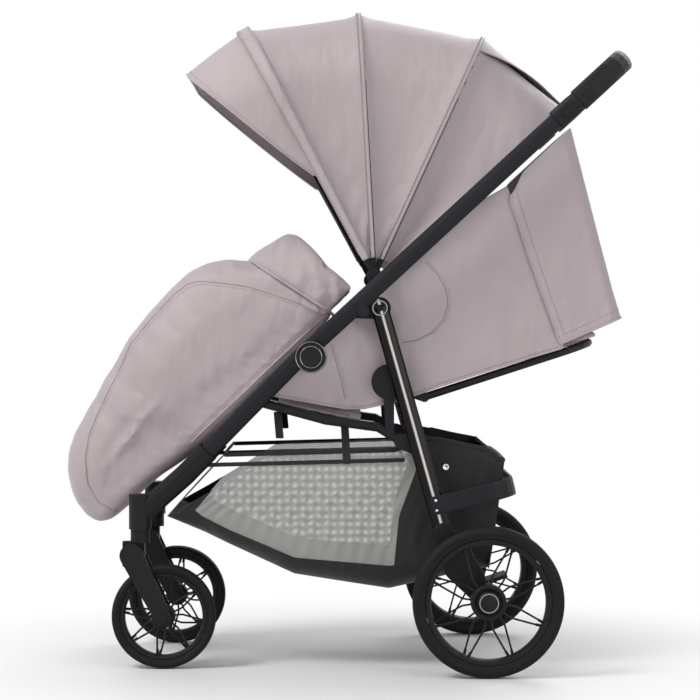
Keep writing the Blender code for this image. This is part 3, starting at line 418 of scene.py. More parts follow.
def cord(name, points, radius, look, closed=False, sides=2):
    curve = bpy.data.curves.new(name, "CURVE")
    curve.dimensions = "3D"
    curve.bevel_depth = radius
    curve.bevel_resolution = sides
    curve.use_fill_caps = True
    line = curve.splines.new("POLY")
    line.points.add(len(points) - 1)
    for spot, p in zip(line.points, points):
        spot.co = (*p, 1)
    line.use_cyclic_u = closed
    curve.materials.append(looks[look])
    raw = linked(name + "Line", curve)
    mesh = evaluated(raw)
    bpy.data.objects.remove(raw, do_unlink=True)
    mesh.shade_smooth()
    return linked(name, mesh)


def stitches(name, points, look="thread", stitch=0.0040, gap=0.0024, radius=0.0006):
    bm = bmesh.new()
    lengths = [0.0]
    for a, b in zip(points, points[1:]):
        lengths.append(lengths[-1] + (b - a).length)
    count = int(lengths[-1] / (stitch + gap)) if len(points) > 1 else 0

    def spot(distance):
        i = min(len(points) - 2, max(0, bisect.bisect_right(lengths, distance) - 1))
        run = max(1e-9, lengths[i + 1] - lengths[i])
        return points[i].lerp(points[i + 1], (distance - lengths[i]) / run)

    for k in range(count):
        a, b = spot(k * (stitch + gap)), spot(k * (stitch + gap) + stitch)
        spin = (b - a).to_track_quat("Z", "Y").to_matrix().to_4x4()
        size = Matrix.Diagonal((radius, radius, stitch / 2, 1))
        bmesh.ops.create_uvsphere(bm, u_segments=5, v_segments=4, radius=1,
                                  matrix=Matrix.Translation(a.lerp(b, 0.5)) @ spin @ size)
    return finished(name, bm, look)


def joined(name, objects):  # several pieces as one, each keeping its material
    bm = bmesh.new()
    mats = []
    for obj in objects:
        start = len(bm.faces)
        bm.from_mesh(obj.data)
        bm.faces.ensure_lookup_table()
        own = list(obj.data.materials)
        mats += [m for m in own if m not in mats]
        for face in bm.faces[start:]:
            face.material_index = mats.index(own[face.material_index])
    for obj in objects:
        bpy.data.objects.remove(obj, do_unlink=True)
    return meshed(name, bm, mats)


def halved(bm, place, way, before=True):  # what lies before a plane that faces way, or else past it
    bmesh.ops.bisect_plane(bm, geom=bm.verts[:] + bm.edges[:] + bm.faces[:], plane_co=at(0, place),
                           plane_no=(0, *way), clear_outer=before, clear_inner=not before)


def cutOff(name, obj, place, way, before):  # a copy of one side of a cut piece, closed again at the cut
    bm = opened(obj)
    halved(bm, place, way, before)
    bmesh.ops.holes_fill(bm, edges=[e for e in bm.edges if e.is_boundary], sides=0)
    return meshed(name, bm, obj.data.materials)


def surfaceOf(obj):
    bm = opened(obj)
    tree = BVHTree.FromBMesh(bm)
    bm.free()
    return tree


def laidOn(surface, points, way, lift):  # points dropped onto a surface along way, and lifted off it
    way = Vector(way)
    hits = [surface.ray_cast(Vector(p) - way * 0.3, way)[0] for p in points]
    return [hit - way * lift for hit in hits if hit is not None]


def puffed(obj, cap, pressure, voxel, free, frames=20):  # a short cloth run, each move capped
    looksKept = list(obj.data.materials)
    modified(obj, "REMESH", mode="VOXEL", voxel_size=voxel)
    applied(obj)
    rest = [v.co.copy() for v in obj.data.vertices]
    mod = modified(obj, "CLOTH")
    mod.settings.use_pressure = True
    mod.settings.uniform_pressure_force = pressure
    mod.settings.effector_weights.gravity = 0
    mod.point_cache.frame_start = 1
    mod.point_cache.frame_end = frames
    for step in range(1, frames + 1):
        scene.frame_set(step)
    applied(obj)
    for v, start in zip(obj.data.vertices, rest):
        move = v.co - start
        if move.length > cap:
            move *= cap / move.length
        v.co = start + move * free(start)
    scene.frame_set(1)
    obj.data.materials.clear()
    for mat in looksKept:
        obj.data.materials.append(mat)
    obj.data.shade_smooth()
    return obj


# What a piece is to the frame

def settled(obj, body, node=None):
    if node:
        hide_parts(node)
    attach(obj, body)


def foldedFlat(obj, across):  # gives the piece its own copy of its mesh; the spot on the push tubes' plane at across is worked out but not used
    at(0, onTube(0, across))
    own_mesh(obj)


def paint(look, *names):
    for name in names:
        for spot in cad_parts[name].material_slots:
            spot.material = looks[look]


def pair(*names):
    return [f"{name}_{side}" for name in names for side in sides]


print("stage: frame finishes")
paint("paint", *pair("front_leg", "push_tube", "seat_tube"), "rear_axle", "rear_stand_bar", "backrest_frame",
      *(f"hood_hoop_{name}" for name in ("rear", "mid", "front")))
paint("legChrome", *pair("rear_leg"))
paint("plastic", *pair("swivel_housing", "knuckle", "handle_collar", "hood_pivot", "rear_housing",
                       "recline_cover", "swivel_crown", "front_fork", "front_axle"), "brake_pedal")
paint("leather", "handle_grip")


# Floor, light and camera

print("stage: studio")
scene.view_settings.view_transform = "Standard"


def whiteShare(tree):  # what the camera and reflections see as plain white
    path = addNode(tree, "LightPath")
    seen = mathNode(tree, "MAXIMUM", path["Is Camera Ray"], path["Is Glossy Ray"])
    return mathNode(tree, "MAXIMUM", seen, path["Is Transmission Ray"])


world = bpy.data.worlds.new("studioWorld")
scene.world = world
world.use_nodes = True
tree = world.node_tree
strength = mathNode(tree, "MAXIMUM", whiteShare(tree), studio["worldStrength"])
feed(tree, tree.nodes["Background"], {"Color": (1, 1, 1, 1), "Strength": strength})

bm = bmesh.new()
bmesh.ops.create_circle(bm, cap_ends=True, segments=96, radius=studio["floorSize"])
floor = finished("studioFloor", bm, "taupe")
mat, tree, shader = startMaterial("paleFloor")
feed(tree, shader, {"Base Color": colour(*studio["floorTone"]), "Roughness": 0.55})
glow = addNode(tree, "Emission", {"Strength": 1.0})["Emission"]
reach = addNode(tree, "VectorMath", {0: placeOf(tree)}, operation="LENGTH")["Value"]
fade = ranged(tree, reach, 0.0, 1.0, studio["fadeStart"], studio["fadeEnd"], "SMOOTHSTEP")
share = mathNode(tree, "MULTIPLY", fade, whiteShare(tree))
surface = addNode(tree, "MixShader", {0: share, 1: shader.outputs["BSDF"], 2: glow})["Shader"]
feed(tree, tree.nodes["Material Output"], {"Surface": surface})
floor.data.materials[0] = mat


def aimed(obj, place, aim):
    obj.location = place
    obj.rotation_euler = (Vector(aim) - Vector(place)).to_track_quat("-Z", "Y").to_euler()


for name, place, size, power in studio["lamps"]:
    lamp = bpy.data.lights.new(name, "AREA")
    lamp.size = size
    lamp.energy = power
    aimed(linked(name, lamp), place, studio["lampAim"])

lens = bpy.data.cameras.new("studioCamera")
lens.lens = studio["lens"]
scene.camera = linked("studioCamera", lens)
aimed(scene.camera, studio["cameraPlace"], studio["cameraAim"])


# Hood: hoops carry bands of cloth, and one sheet runs from hoop to hoop

hood = {"pivot": (0.0420, 0.6750), "corner": 0.125, "foot": 0.030, "proud": 0.0047, "sag": 0.0125,
        "end": (41.8, 0.4447, 0.2045), "rear": (65.3, 0.4543, 0.2080), "mid": (93.2, 0.4549, 0.2150),
        "front": (117.8, 0.4816, 0.2220), "blendRadius": 0.24,
        "panels": (("end", "rear", 0.0010, 1.05, ["hood_hoop_rear", "push_tube_left", "push_tube_right"]),
                   ("rear", "mid", 0.0012, 1.05, ["hood_hoop_rear", "hood_hoop_mid"]),
                   ("mid", "front", 0.0022, 1.08, ["hood_hoop_mid", "hood_hoop_front"])),
        "bandTop": {"rear": 0.0034, "mid": 0.0040, "front": 0.0120},
        "bandFoot": {"rear": 0.0030, "mid": 0.0032, "front": 0.0060}, "bandSeams": (0.14, 0.86),
        "thickness": 0.0013, "bandThickness": 0.0011, "visorFoot": 0.196, "visorStart": 0.012,
        "visorSlope": 216.8, "visorReach": 0.1120, "flapLift": 0.0038}

print("stage: hood")


def archRun(u, half, top, foot, corner):  # x, height and the outward way round an arch
    side = 1 if u <= 0.5 else -1
    arm, bend = top - corner - foot, math.pi / 2 * corner
    left = min(u, 1 - u) * 2 * (arm + bend + half - corner)
    if left < arm:
        return side * half, foot + left, side, 0.0
    if left < arm + bend:
        c, s = math.cos((left - arm) / corner), math.sin((left - arm) / corner)
        return side * (half - corner + corner * c), top - corner + corner * s, side * c, s
    return side * (half - corner - (left - arm - bend)), top, 0.0, 1.0


def hoodPoint(u, angle, radius, half, out):
    x, r, nx, nr = archRun(u, half, radius, hood["foot"], hood["corner"])
    return at(x + nx * out, shifted(hood["pivot"], angle, r + nr * out))


def hoodBetween(first, last, v):  # angle, radius and half width between two hoops
    return [mix(p, q, v) for p, q in zip(hood[first], hood[last])]


for first, last, wrinkle, width, rests in hood["panels"]:
    def place(u, v):
        edge = min(u, 1 - u)
        over = 1 - ease(min(1.0 if first == "end" else v, 1 - v) / 0.10)
        sag = hood["sag"] * hump(v) ** 0.8 * ease(edge / 0.12)
        ripple = wrinkle * bell(edge, 0.13) * hump(v)
        ripple *= math.sin(2 * math.pi * (edge * 21 + v * 1.3))
        return hoodPoint(u, *hoodBetween(first, last, v), hood["proud"] * over - sag + ripple)

    panel = cloth(f"hoodPanel{last.title()}", 96, 18, place, "taupeSmooth", hood["thickness"])
    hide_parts(f"hood_panel_{last}")
    start, end = (at(0, shifted(hood["pivot"], hood[hoop][0], hood["blendRadius"])) for hoop in (first, last))
    body = "upper_frame" if first == "end" else f"hood_{first}"
    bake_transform(panel)
    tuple(start)

for name in ("rear", "mid", "front"):
    angle, radius, half = hood[name]

    def bandPlace(u, v, lift=0.0):
        wide = mix(hood["bandFoot"][name], hood["bandTop"][name], ease(min(u, 1 - u) / 0.42))
        x, r, nx, nr = archRun(u, half, radius, hood["foot"], hood["corner"])
        out = hood["proud"] + 0.0010 + 0.0008 * (1 - (2 * v - 1) ** 2) + lift
        p = shifted(hood["pivot"], angle, r + nr * out)
        return at(x + nx * out, shifted(p, angle + 90, (v - 0.5) * 2 * wide))

    parts = [cloth("band", 96, 6, bandPlace, "taupeSmooth", hood["bandThickness"])]
    for v in hood["bandSeams"]:
        parts.append(stitches("seam", sampled(260, lambda f: bandPlace(0.02 + 0.96 * f, v, 0.0007))))
    edge = sampled(200, lambda f: bandPlace(0.01 + 0.98 * f, 1.0, -0.0002))
    parts.append(cord("seam", edge, 0.0011, "taupeShade" if name == "front" else "thread"))
    band = joined(f"hoodBand{name.title()}", parts)
    settled(band, f"hood_{name}")

# Visor, with its hem, zip line and seam


def visorPlace(u, v, out=0.0):
    angle, radius, half = hood["front"]
    foot = hood["visorFoot"]
    x, r, nx, nr = archRun(u, half, radius, foot, hood["corner"])
    share = min(1.0, (r - foot + hood["visorStart"]) / (radius - foot)) ** 0.92
    p = shifted(hood["pivot"], angle, r + nr * out)
    p = shifted(p, angle + 90, hood["bandTop"]["front"] * share * 0.8 + 0.002)
    droop = 0.0012 * hump(v) * share
    reach = max(0.0035, hood["visorReach"] * share) * v
    buckle = 0.0016 * hump(v) * math.sin(min(u, 1 - u) * 60) * (1 - share)
    return at((x + nx * (out + buckle)) * (1 - 0.045 * v), shifted(p, hood["visorSlope"], reach, -droop))


visor = cloth("hoodVisor", 96, 14, visorPlace, "taupeSmooth", hood["thickness"])
visorTrim = joined("hoodVisorTrim", [
    cord("hem", sampled(240, lambda f: visorPlace(0.004 + 0.992 * f, 1.0)), 0.0019, "taupe", sides=3),
    cord("zip", sampled(240, lambda f: visorPlace(f, 0.0, 0.0012)), 0.0012, "taupeShade"),
    stitches("seam", sampled(240, lambda f: visorPlace(0.01 + 0.98 * f, 0.93, 0.0009)))])
settled(visor, "hood_front", "hood_visor")
settled(visorTrim, "hood_front")

# Window flap on the rear of the hood, lifted along its lower edges


def flapPlace(u, v):
    angle, radius, half = hoodBetween("end", "rear", v)
    angle += mix(0.4, -0.2, v)
    inset = mix(0.452, 0.352, v)
    lift = hood["flapLift"] * bell(min(u, 1 - u), 0.13) * hump(min(1, v + 0.06))
    sag = hood["sag"] * hump(v) ** 0.8
    out = 0.0034 + lift + 0.002 * (1 - v) + hood["proud"] * 0.2 - sag
    return hoodPoint(mix(inset, 1 - inset, u), angle, radius, half, out)


flap = cloth("hoodWindowFlap", 40, 14, flapPlace, "taupeSmooth", hood["thickness"])
flapHem = sampled(60, lambda f: flapPlace(0, 1 - f)) + sampled(60, lambda f: flapPlace(f, 0))[1:]
flapHem += sampled(60, lambda f: flapPlace(1, f))[1:]
settled(flap, "upper_frame")
settled(cord("hoodFlapHem", flapHem, 0.0013, "taupeShade"), "upper_frame")

# Hem round the hood's rear edge
rearEdge = sampled(200, lambda f: hoodPoint(0.004 + 0.992 * f, *hood["end"], 0.0))
settled(cord("hoodRearHem", rearEdge, 0.0022, "taupe", sides=3), "upper_frame")


# Seat side cloths, each cut in two behind the rear leg

wall = {"x": 0.1868, "rise": 0.0011, "thickness": 0.0022, "outside": 0.2,
        "low": ((-0.1400, 0.4720), (-0.0074, 0.4486), (0.0234, 0.4486), (0.0866, 0.4622), (0.1669, 0.4911),
                (0.2917, 0.5304), (0.3680, 0.5532)),
        "high": (onTube(-0.2150, -0.012), onTube(-0.0800, -0.0085), onTube(0.2300, -0.0085),
                 (0.2700, 0.8300)),
        "pocket": ((425, 262), (437, 274), (446, 290), (448, 305), (443, 320), (432, 332), (417, 340),
                   (402, 343)),
        "dart": ((331, 344), (336, 362), (341, 380), (345, 399)), "doubled": 0.0045,
        "cut": rearLeg["pivot"], "cutWay": (0.9626, 0.2710), "hem": 0.0045, "hemRadius": 0.0021}

print("stage: seat cloths")


def wallPlace(u, v):
    low, high = follow(wall["low"], u), follow(wall["high"], u ** 0.93)
    y, z = mix(low[0], high[0], v), mix(low[1], high[1], v)
    edge = ease(min(u, 1 - u) / 0.12) * ease(min(v, 1 - v) / 0.15)
    wave = math.sin(17 * y + 9 * z) + 0.7 * math.sin(31 * z - 12 * y + 1.3)
    wave += 0.5 * math.sin(47 * y + 20 * z)
    return at(wall["x"] + wall["rise"] * edge * wave, (y, z))


for side, sign in sides.items():
    def place(u, v):
        p = wallPlace(u, v)
        return Vector((sign * p.x, p.y, p.z))

    panel = cloth("wall", 84, 40, place, "taupe", wall["thickness"])
    surface = surfaceOf(panel)
    inward = (-sign, 0, 0)
    outside = sign * wall["outside"]
    hemLine = sampled(220, lambda f: at(outside, follow(wall["low"], 0.01 + 0.98 * f)))
    raised = [p + Vector((0, 0, wall["hem"])) for p in hemLine]
    rolled = [Vector((sign * (wall["x"] + 0.0006), p.y, p.z + 0.0004)) for p in hemLine]
    parts = [panel, cord("hem", rolled, wall["hemRadius"], "taupe", sides=3),
             stitches("hemSeam", laidOn(surface, raised, inward, 0.0004))]
    for key in ("pocket", "dart"):
        line = [fromPhoto(px, py, wall["x"] + 0.0002) for px, py in wall[key]]
        fine = sampled(120, lambda f: at(outside, follow(line, f)))
        second = [p + Vector((0, wall["doubled"], 0)) for p in fine]
        parts += [stitches(key, laidOn(surface, fine, inward, 0.0004)),
                  cord(key, laidOn(surface, fine, inward, -0.0003), 0.0009, "taupeShade"),
                  stitches(key, laidOn(surface, second, inward, 0.0004))]
    whole = joined("wall", parts)
    seatFront = cutOff(f"seatSideFront{side.title()}", whole, wall["cut"], wall["cutWay"], True)
    seatRear = cutOff(f"seatSide{side.title()}Rear", whole, wall["cut"], wall["cutWay"], False)
    bpy.data.objects.remove(whole, do_unlink=True)
    settled(seatFront, "front_frame", None)
    settled(seatRear, "upper_frame", f"seat_side_{side}")
    foldedFlat(seatRear, -0.02)


# Back cover, hanging from the push tubes behind the seat

drape = {"x": 0.1918, "thickness": 0.0014, "folds": 5, "fold": 0.0045, "gathers": 17, "gather": 0.0022,
         "front": ((0.2673, 0.8270), (0.3120, 0.6930), (0.3610, 0.5590)), "rearShare": 0.945,
         "rear": ((0.3785, 0.9300), (0.4280, 0.7383), (0.4635, 0.6034)), "cornerShare": 0.22,
         "sideSeams": (0.022, 0.978), "lowSeam": 0.955, "seamLift": 0.0012, "hemRadius": 0.0019}


def drapePlace(u, v):
    front, rear = follow(drape["front"], v), follow(drape["rear"], v)
    run = min(u, 1 - u) / drape["cornerShare"]
    if run < 1:
        corner = 0.035 * (1 - ease(v / 0.10)) * (1 - ease(run / 0.30))  # the rounded upper corner
        curl = ease((run - 0.80) / 0.20)
        ripple = 0.0016 * hump(run) * math.sin(9 * v + 5 * run) * ease(v / 0.15)
        x = (1 if u < 0.5 else -1) * (drape["x"] * (1 - (1 - drape["rearShare"]) * curl * curl) + ripple)
        y, z = mix(front[0], rear[0], run), mix(front[1], rear[1], run)
        return at(x, (y + corner * 0.25, z - corner * 0.35))
    w = (u - drape["cornerShare"]) / (1 - 2 * drape["cornerShare"])
    wave = drape["fold"] * v * (1 - math.cos(2 * math.pi * drape["folds"] * w)) / 2
    crown = 0.010 * hump(w) * hump(min(1, v * 1.15))
    gather = drape["gather"] * ease((v - 0.84) / 0.16) * math.sin(2 * math.pi * drape["gathers"] * w)
    x = drape["x"] * drape["rearShare"] * (1 - 2 * w)
    return at(x, (rear[0] - wave - crown * 0.3 + gather, rear[1] + abs(gather) * 0.8))


def offCover(p):  # just outside the cover's rear
    return p + Vector((p.x, p.y - 0.2, 0)).normalized() * 0.0011


print("stage: back cover")
hem = sampled(80, lambda f: drapePlace(0.0, f)) + sampled(200, lambda f: drapePlace(f, 1.0))[1:]
hem += sampled(80, lambda f: drapePlace(1.0, 1 - f))[1:]
parts = [cloth("cover", 120, 44, drapePlace, "taupe", drape["thickness"]),
         cord("hem", hem, drape["hemRadius"], "taupe", sides=3)]
for u in drape["sideSeams"]:
    out = Vector((math.copysign(drape["seamLift"], 0.5 - u), 0, 0))
    parts.append(stitches("seam", sampled(160, lambda f: drapePlace(u, 0.02 + 0.96 * f) + out)))
parts.append(stitches("seam", sampled(300, lambda f: offCover(drapePlace(f, drape["lowSeam"])))))
cover = joined("backCover", parts)
settled(cover, "upper_frame", "back_cover")
foldedFlat(cover, -0.02)


# Footmuff: a puffed shell open at the top, with a puffy cuff tucked into its mouth

# each row: how far along the tube, then bottom, top and half width there
muff = {
    "rows": (
        (-0.022, 0.018, 0.110, 0.205), (-0.034, 0.018, 0.166, 0.212), (-0.070, 0.018, 0.172, 0.213),
        (-0.114, 0.014, 0.184, 0.213), (-0.138, 0.006, 0.216, 0.212), (-0.168, 0.002, 0.232, 0.209),
        (-0.208, -0.002, 0.238, 0.204), (-0.250, -0.004, 0.238, 0.199), (-0.300, -0.004, 0.234, 0.191),
        (-0.353, -0.002, 0.227, 0.178), (-0.434, 0.006, 0.204, 0.149), (-0.490, 0.014, 0.186, 0.134),
        (-0.540, 0.016, 0.171, 0.129), (-0.576, 0.014, 0.156, 0.126), (-0.601, 0.016, 0.137, 0.118),
        (-0.620, 0.026, 0.112, 0.105), (-0.634, 0.046, 0.084, 0.076)),
    "mouth": (-0.0727, 0.0226), "mouthTop": 0.185, "lean": 0.2547, "wall": 0.006, "cap": 0.006,
    "voxel": 0.0075, "pressure": 5.0, "outside": 0.26, "flank": 0.07, "groove": 0.0016, "crease": 0.0017,
    "hem": ((-0.078, 0.0250), (-0.400, 0.0200)), "hemSeam": ((-0.080, 0.0345), (-0.400, 0.0290)),
    "seam": (
        (327, 318), (300, 304), (274, 295), (248, 287), (221, 283), (199, 281), (186, 284), (172, 294),
        (150, 317), (127, 344), (113, 374), (95, 410), (84, 436), (80, 460), (82, 486), (92, 505),
        (113, 516)),
}

print("stage: footmuff")


def roundish(degrees, power, below=None):  # a rounded box's outline, each way from -1 to 1
    c, s = turn(degrees)
    if s <= 0 and below:
        power = below
    return math.copysign(abs(c) ** (2 / power), c), math.copysign(abs(s) ** (2 / power), s)


def muffPlace(u, v):
    close = math.sqrt(max(0.0, 1 - ease((v - 0.955) / 0.045) ** 2))
    base = mix(muff["mouth"][0], muff["rows"][-1][0], min(1.0, v / 0.965))
    shear = muff["lean"] * (1 - ease(v / 0.32))
    low, high, half = station(muff["rows"], base)
    high = station(muff["rows"], base - (muff["mouthTop"] - muff["mouth"][1]) * shear)[1]
    a, b = roundish(360 * u, 3.6, 9)
    h = (low + high) / 2 + (high - low) / 2 * close * b
    toe = 0.006 * (1 - close)
    return at(half * close * a, onTube(base - shear * max(0.0, h - muff["mouth"][1]) - toe, h))


def nearLine(p, line):  # distance from a side-view point to a polyline
    best = 1.0
    for a, b in zip(line, line[1:]):
        ab = (b[0] - a[0], b[1] - a[1])
        t = clamped(((p[0] - a[0]) * ab[0] + (p[1] - a[1]) * ab[1]) / (ab[0] ** 2 + ab[1] ** 2))
        best = min(best, math.dist(p, (a[0] + ab[0] * t, a[1] + ab[1] * t)))
    return best


def tubeFrame(p):
    return along(p, (tube["y"], tube["z"]), tube["slope"])


def muffFree(p):  # the sole by the legs and the mouth keep their place in the cloth run
    lengthwise, above = tubeFrame(p)
    return ease((above - 0.02) / 0.05) * ease((-lengthwise - 0.085 - 0.25 * above) / 0.03)


bm = gridForm(72, 80, muffPlace)
bmesh.ops.remove_doubles(bm, verts=bm.verts, dist=1e-5)
bmesh.ops.holes_fill(bm, edges=bm.edges, sides=0)
bag = puffed(finished("footmuffShell", bm, "taupe"), muff["cap"], muff["pressure"], muff["voxel"], muffFree)
seamSide = [fromPhoto(px, py, 0.2) for px, py in muff["seam"]]
for v in bag.data.vertices:
    if abs(v.co.x) < muff["flank"]:
        continue
    lengthwise, above = tubeFrame(v.co)
    crease = math.sin(120 * lengthwise + 9 * math.sin(26 * above)) * bell(above - 0.035, 0.035)
    crease += 0.35 * math.sin(60 * above - 70 * lengthwise) * bell(above - 0.10, 0.06)
    groove = bell(nearLine((v.co.y, v.co.z), seamSide), 0.0055)
    v.co.x -= math.copysign(muff["groove"] * groove + muff["crease"] * crease, v.co.x)
outer = surfaceOf(bag)
bm = opened(bag)
c, s = turn(tube["slope"])
norm = math.hypot(1, muff["lean"])
halved(bm, onTube(muff["mouth"][0] - 0.002, muff["mouth"][1]),
       ((c - s * muff["lean"]) / norm, (s + c * muff["lean"]) / norm))
bm.to_mesh(bag.data)
bm.free()
modified(bag, "SOLIDIFY", thickness=muff["wall"], offset=-1)
bag = subdivided(applied(bag))
parts = []
for side, sign in sides.items():
    outside, inward = sign * muff["outside"], (-sign, 0, 0)

    def sideLine(ends):
        return sampled(160, lambda f: at(outside, onTube(*(mix(p, q, f) for p, q in zip(*ends)))))

    seam = sampled(200, lambda f: at(outside, follow(seamSide, f)))
    below = [p + Vector((0, 0.0022, -0.0052)) for p in seam]
    parts += [cord("seam", laidOn(outer, seam, inward, -0.0002), 0.0011, "taupeShade"),
              stitches("seam", laidOn(outer, below, inward, 0.0003)),
              cord("hem", laidOn(outer, sideLine(muff["hem"]), inward, 0.0002), 0.0018, "taupe", sides=3),
              stitches("hemSeam", laidOn(outer, sideLine(muff["hemSeam"]), inward, 0.0003))]
mouth = sampled(200, lambda f: muffPlace(f, 0.0))[:-1]
parts.append(cord("mouthHem", mouth, 0.0028, "taupe", closed=True, sides=3))
muffTrim = joined("footmuffTrim", parts)
settled(bag, "front_frame", "footmuff")
settled(muffTrim, "front_frame")

cuff = {"half": 0.2095, "foot": 0.0215, "corner": 0.085, "thick": 0.024, "front": (-0.088, 0.0226),
        "rearBottom": -0.0135, "rearLean": 0.062, "topFront": 0.186, "topRear": 0.166, "cap": 0.006,
        "voxel": 0.005, "pressure": 5.0, "fans": 15, "fan": 0.0030, "pull": 0.004}


def cuffPlace(a, b, c):
    u, w = (a + 1) / 2, (b + 1) / 2
    top = mix(cuff["topFront"], cuff["topRear"], w)
    x, h, nx, nh = archRun(u, cuff["half"], top, cuff["foot"], cuff["corner"])
    puff = (1 - abs(b) ** 3.2) ** 0.5 * (0.30 + 0.70 * (1 - abs(a) ** 14))
    fan = cuff["fan"] * math.sin(2 * math.pi * (u * cuff["fans"] + 0.6 * math.sin(5 * w))) * (1 - b * b)
    bunch = 0.45 + 1.1 * bell(1 - abs(a), 0.16)
    out = cuff["thick"] * 0.5 * (c * max(0.12, puff) - 1) + fan * bunch * (c + 1) / 2
    front = cuff["front"][0] - muff["lean"] * (h - cuff["front"][1])
    rear = cuff["rearBottom"] - cuff["rearLean"] * (h - cuff["foot"])
    pull = cuff["pull"] * math.cos(math.pi * a / 2) * b
    return at(x + nx * out, onTube(mix(front, rear, w) + pull, h + nh * out))


roll = block("footmuffCuff", 44, cuffPlace, "taupe")
roll = subdivided(puffed(roll, cuff["cap"], cuff["pressure"], cuff["voxel"], lambda p: 1.0))
settled(roll, "front_frame", None)


# Seat cushion, backrest cushion and seat board

cushions = {
    "seatPad": {"node": "seat_pad", "body": "front_frame", "start": (-0.12521, 0.45553), "slope": -12.2,
                "length": 0.1490, "half": 0.1830, "depth": 0.030, "channels": 2},
    "backrestPad": {"node": "backrest_pad", "body": "backrest", "start": (0.09036, 0.46315), "slope": 18.0,
                    "length": 0.3535, "half": 0.1695, "depth": 0.028, "channels": 4},
}
quilting = {"cap": 0.005, "pressure": 4.0, "voxel": 0.0055, "soft": 0.012, "give": 0.8, "channel": 0.006,
            "channelWide": 0.0065, "pipe": 0.0017}

print("stage: cushions")
for name, spec in cushions.items():
    start, slope, length = spec["start"], spec["slope"], spec["length"]

    def place(a, b, c):
        full = ((1 - abs(a) ** 7) * (1 - abs(b) ** 7)) ** 0.45
        pull = 1 - 0.022 * math.cos(math.pi * b / 2) * (1 if abs(a) > 0.5 else 0.5)
        squeeze = 1 - 0.02 * math.cos(math.pi * a / 2)
        height = 0.30 + 0.52 * full + 0.13 * math.cos(math.pi * a / 2)
        n = spec["depth"] * (0.02 + (c + 1) / 2 * (height - 0.02)) * 0.98
        x = a * (spec["half"] - 0.002) * pull
        return at(x, shifted(start, slope, length * (0.5 + 0.5 * b * squeeze), n))

    def free(p):
        return ease(along(p, start, slope)[1] / quilting["soft"]) * quilting["give"]

    pad = block(name, 26, place, "taupe")
    pad = puffed(pad, quilting["cap"], quilting["pressure"], quilting["voxel"], free)
    lines = [length * (i + 1) / (spec["channels"] + 1) for i in range(spec["channels"])]
    c, s = turn(slope)
    for v in pad.data.vertices:
        run, n = along(v.co, start, slope)
        dip = sum(bell(run - line, quilting["channelWide"]) for line in lines)
        dip *= quilting["channel"] * ease((n - 0.010) / 0.012)
        v.co.y += s * dip
        v.co.z -= c * dip
    pad = subdivided(pad)
    surface = surfaceOf(pad)
    parts = [pad]
    for line in lines:
        row = sampled(120, lambda f: at(spec["half"] * (0.94 - 1.88 * f), shifted(start, slope, line, 0.05)))
        parts.append(stitches("channel", laidOn(surface, row, (0, s, -c), 0.0002)))
    rim = [place(*(0.985 * w for w in roundish(360 * i / 160, 2 / 0.28)), 0.0) for i in range(160)]
    parts.append(cord("piping", rim, quilting["pipe"], "taupeShade", closed=True))
    pad = joined(name, parts)
    settled(pad, spec["body"], spec["node"])

board = {"start": (-0.122, 0.45145), "slope": -12.2, "length": 0.1430, "half": 0.1860, "thick": 0.003,
         "seams": (0.06, 0.94), "seamUnder": -0.0031}


def boardPlace(a, b, c):
    thick = board["thick"] * c * (1 - 0.1 * abs(a * b) ** 3)
    return at(a * board["half"] * (1 - 0.004 * c * c),
              shifted(board["start"], board["slope"], board["length"] * (b + 1) / 2, thick))


parts = [block("board", 8, boardPlace, "black")]
for step in board["seams"]:
    place = shifted(board["start"], board["slope"], board["length"] * step, board["seamUnder"])
    row = sampled(100, lambda f: at(board["half"] * (0.96 - 1.92 * f), place))
    parts.append(stitches("seam", row, "webbing"))
settled(joined("seatBoard", parts), "front_frame", "seat_board")


# Basket: a lofted bag with net sides, a black lower band, a black rear pocket and webbing

basket = {"half": 0.1795, "corner": 0.045, "bow": 0.0035, "sag": 0.005, "thickness": 0.0014,
          "ends": (-0.312, 0.266), "pocketFrom": 0.094, "pocketShare": 0.7, "bandShare": 0.2,
          "frontShare": 0.07, "frontEnd": ((0.264, -0.312), (0.370, -0.215)),
          "rearEnd": ((0.17, 0.2401), (0.325, 0.262), (0.358, 0.266)),
          "top": ((-0.312, 0.264), (-0.215, 0.370), (0.080, 0.378), (0.130, 0.400), (0.236, 0.380),
                  (0.266, 0.358)),
          "low": ((-0.312, 0.264), (-0.2044, 0.2146), (-0.0845, 0.1632), (0.0869, 0.1375), (0.2401, 0.1701),
                  (0.266, 0.172)),
          "band": ((-0.312, 0.292), (-0.290, 0.2831), (-0.2044, 0.2403), (-0.0845, 0.1923), (0.0869, 0.1786),
                   (0.266, 0.205)),
          "front": ((-0.310, 0.266), (-0.214, 0.369)),
          "rear": ((0.2395, 0.172), (0.2612, 0.326), (0.2652, 0.357), (0.2365, 0.379)),
          "second": ((-0.247, 0.3516), (0.0954, 0.3602)), "webbing": 0.0075, "strapWide": 0.014,
          "straps": ((-0.123, 0.397, 0.443), (-0.008, 0.353, 0.421)), "pocketSeams": (0.30, 0.62),
          "crossings": ((-0.2145, 0.3695), (0.2365, 0.3795)), "snap": (446, 467),
          "snapProfile": ((0, 0.0001), (0.0016, 0.0030), (0.0020, 0.0052), (0, 0.0062)),
          "roll": (0.2625, 0.3600), "rollRadius": 0.0052}

print("stage: basket")


def lineAt(line, place):  # a polyline's second number, where its first number is place
    for a, b in zip(line, line[1:]):
        if place <= b[0] or b == line[-1]:
            return mix(a[1], b[1], clamped((place - a[0]) / (b[0] - a[0])))


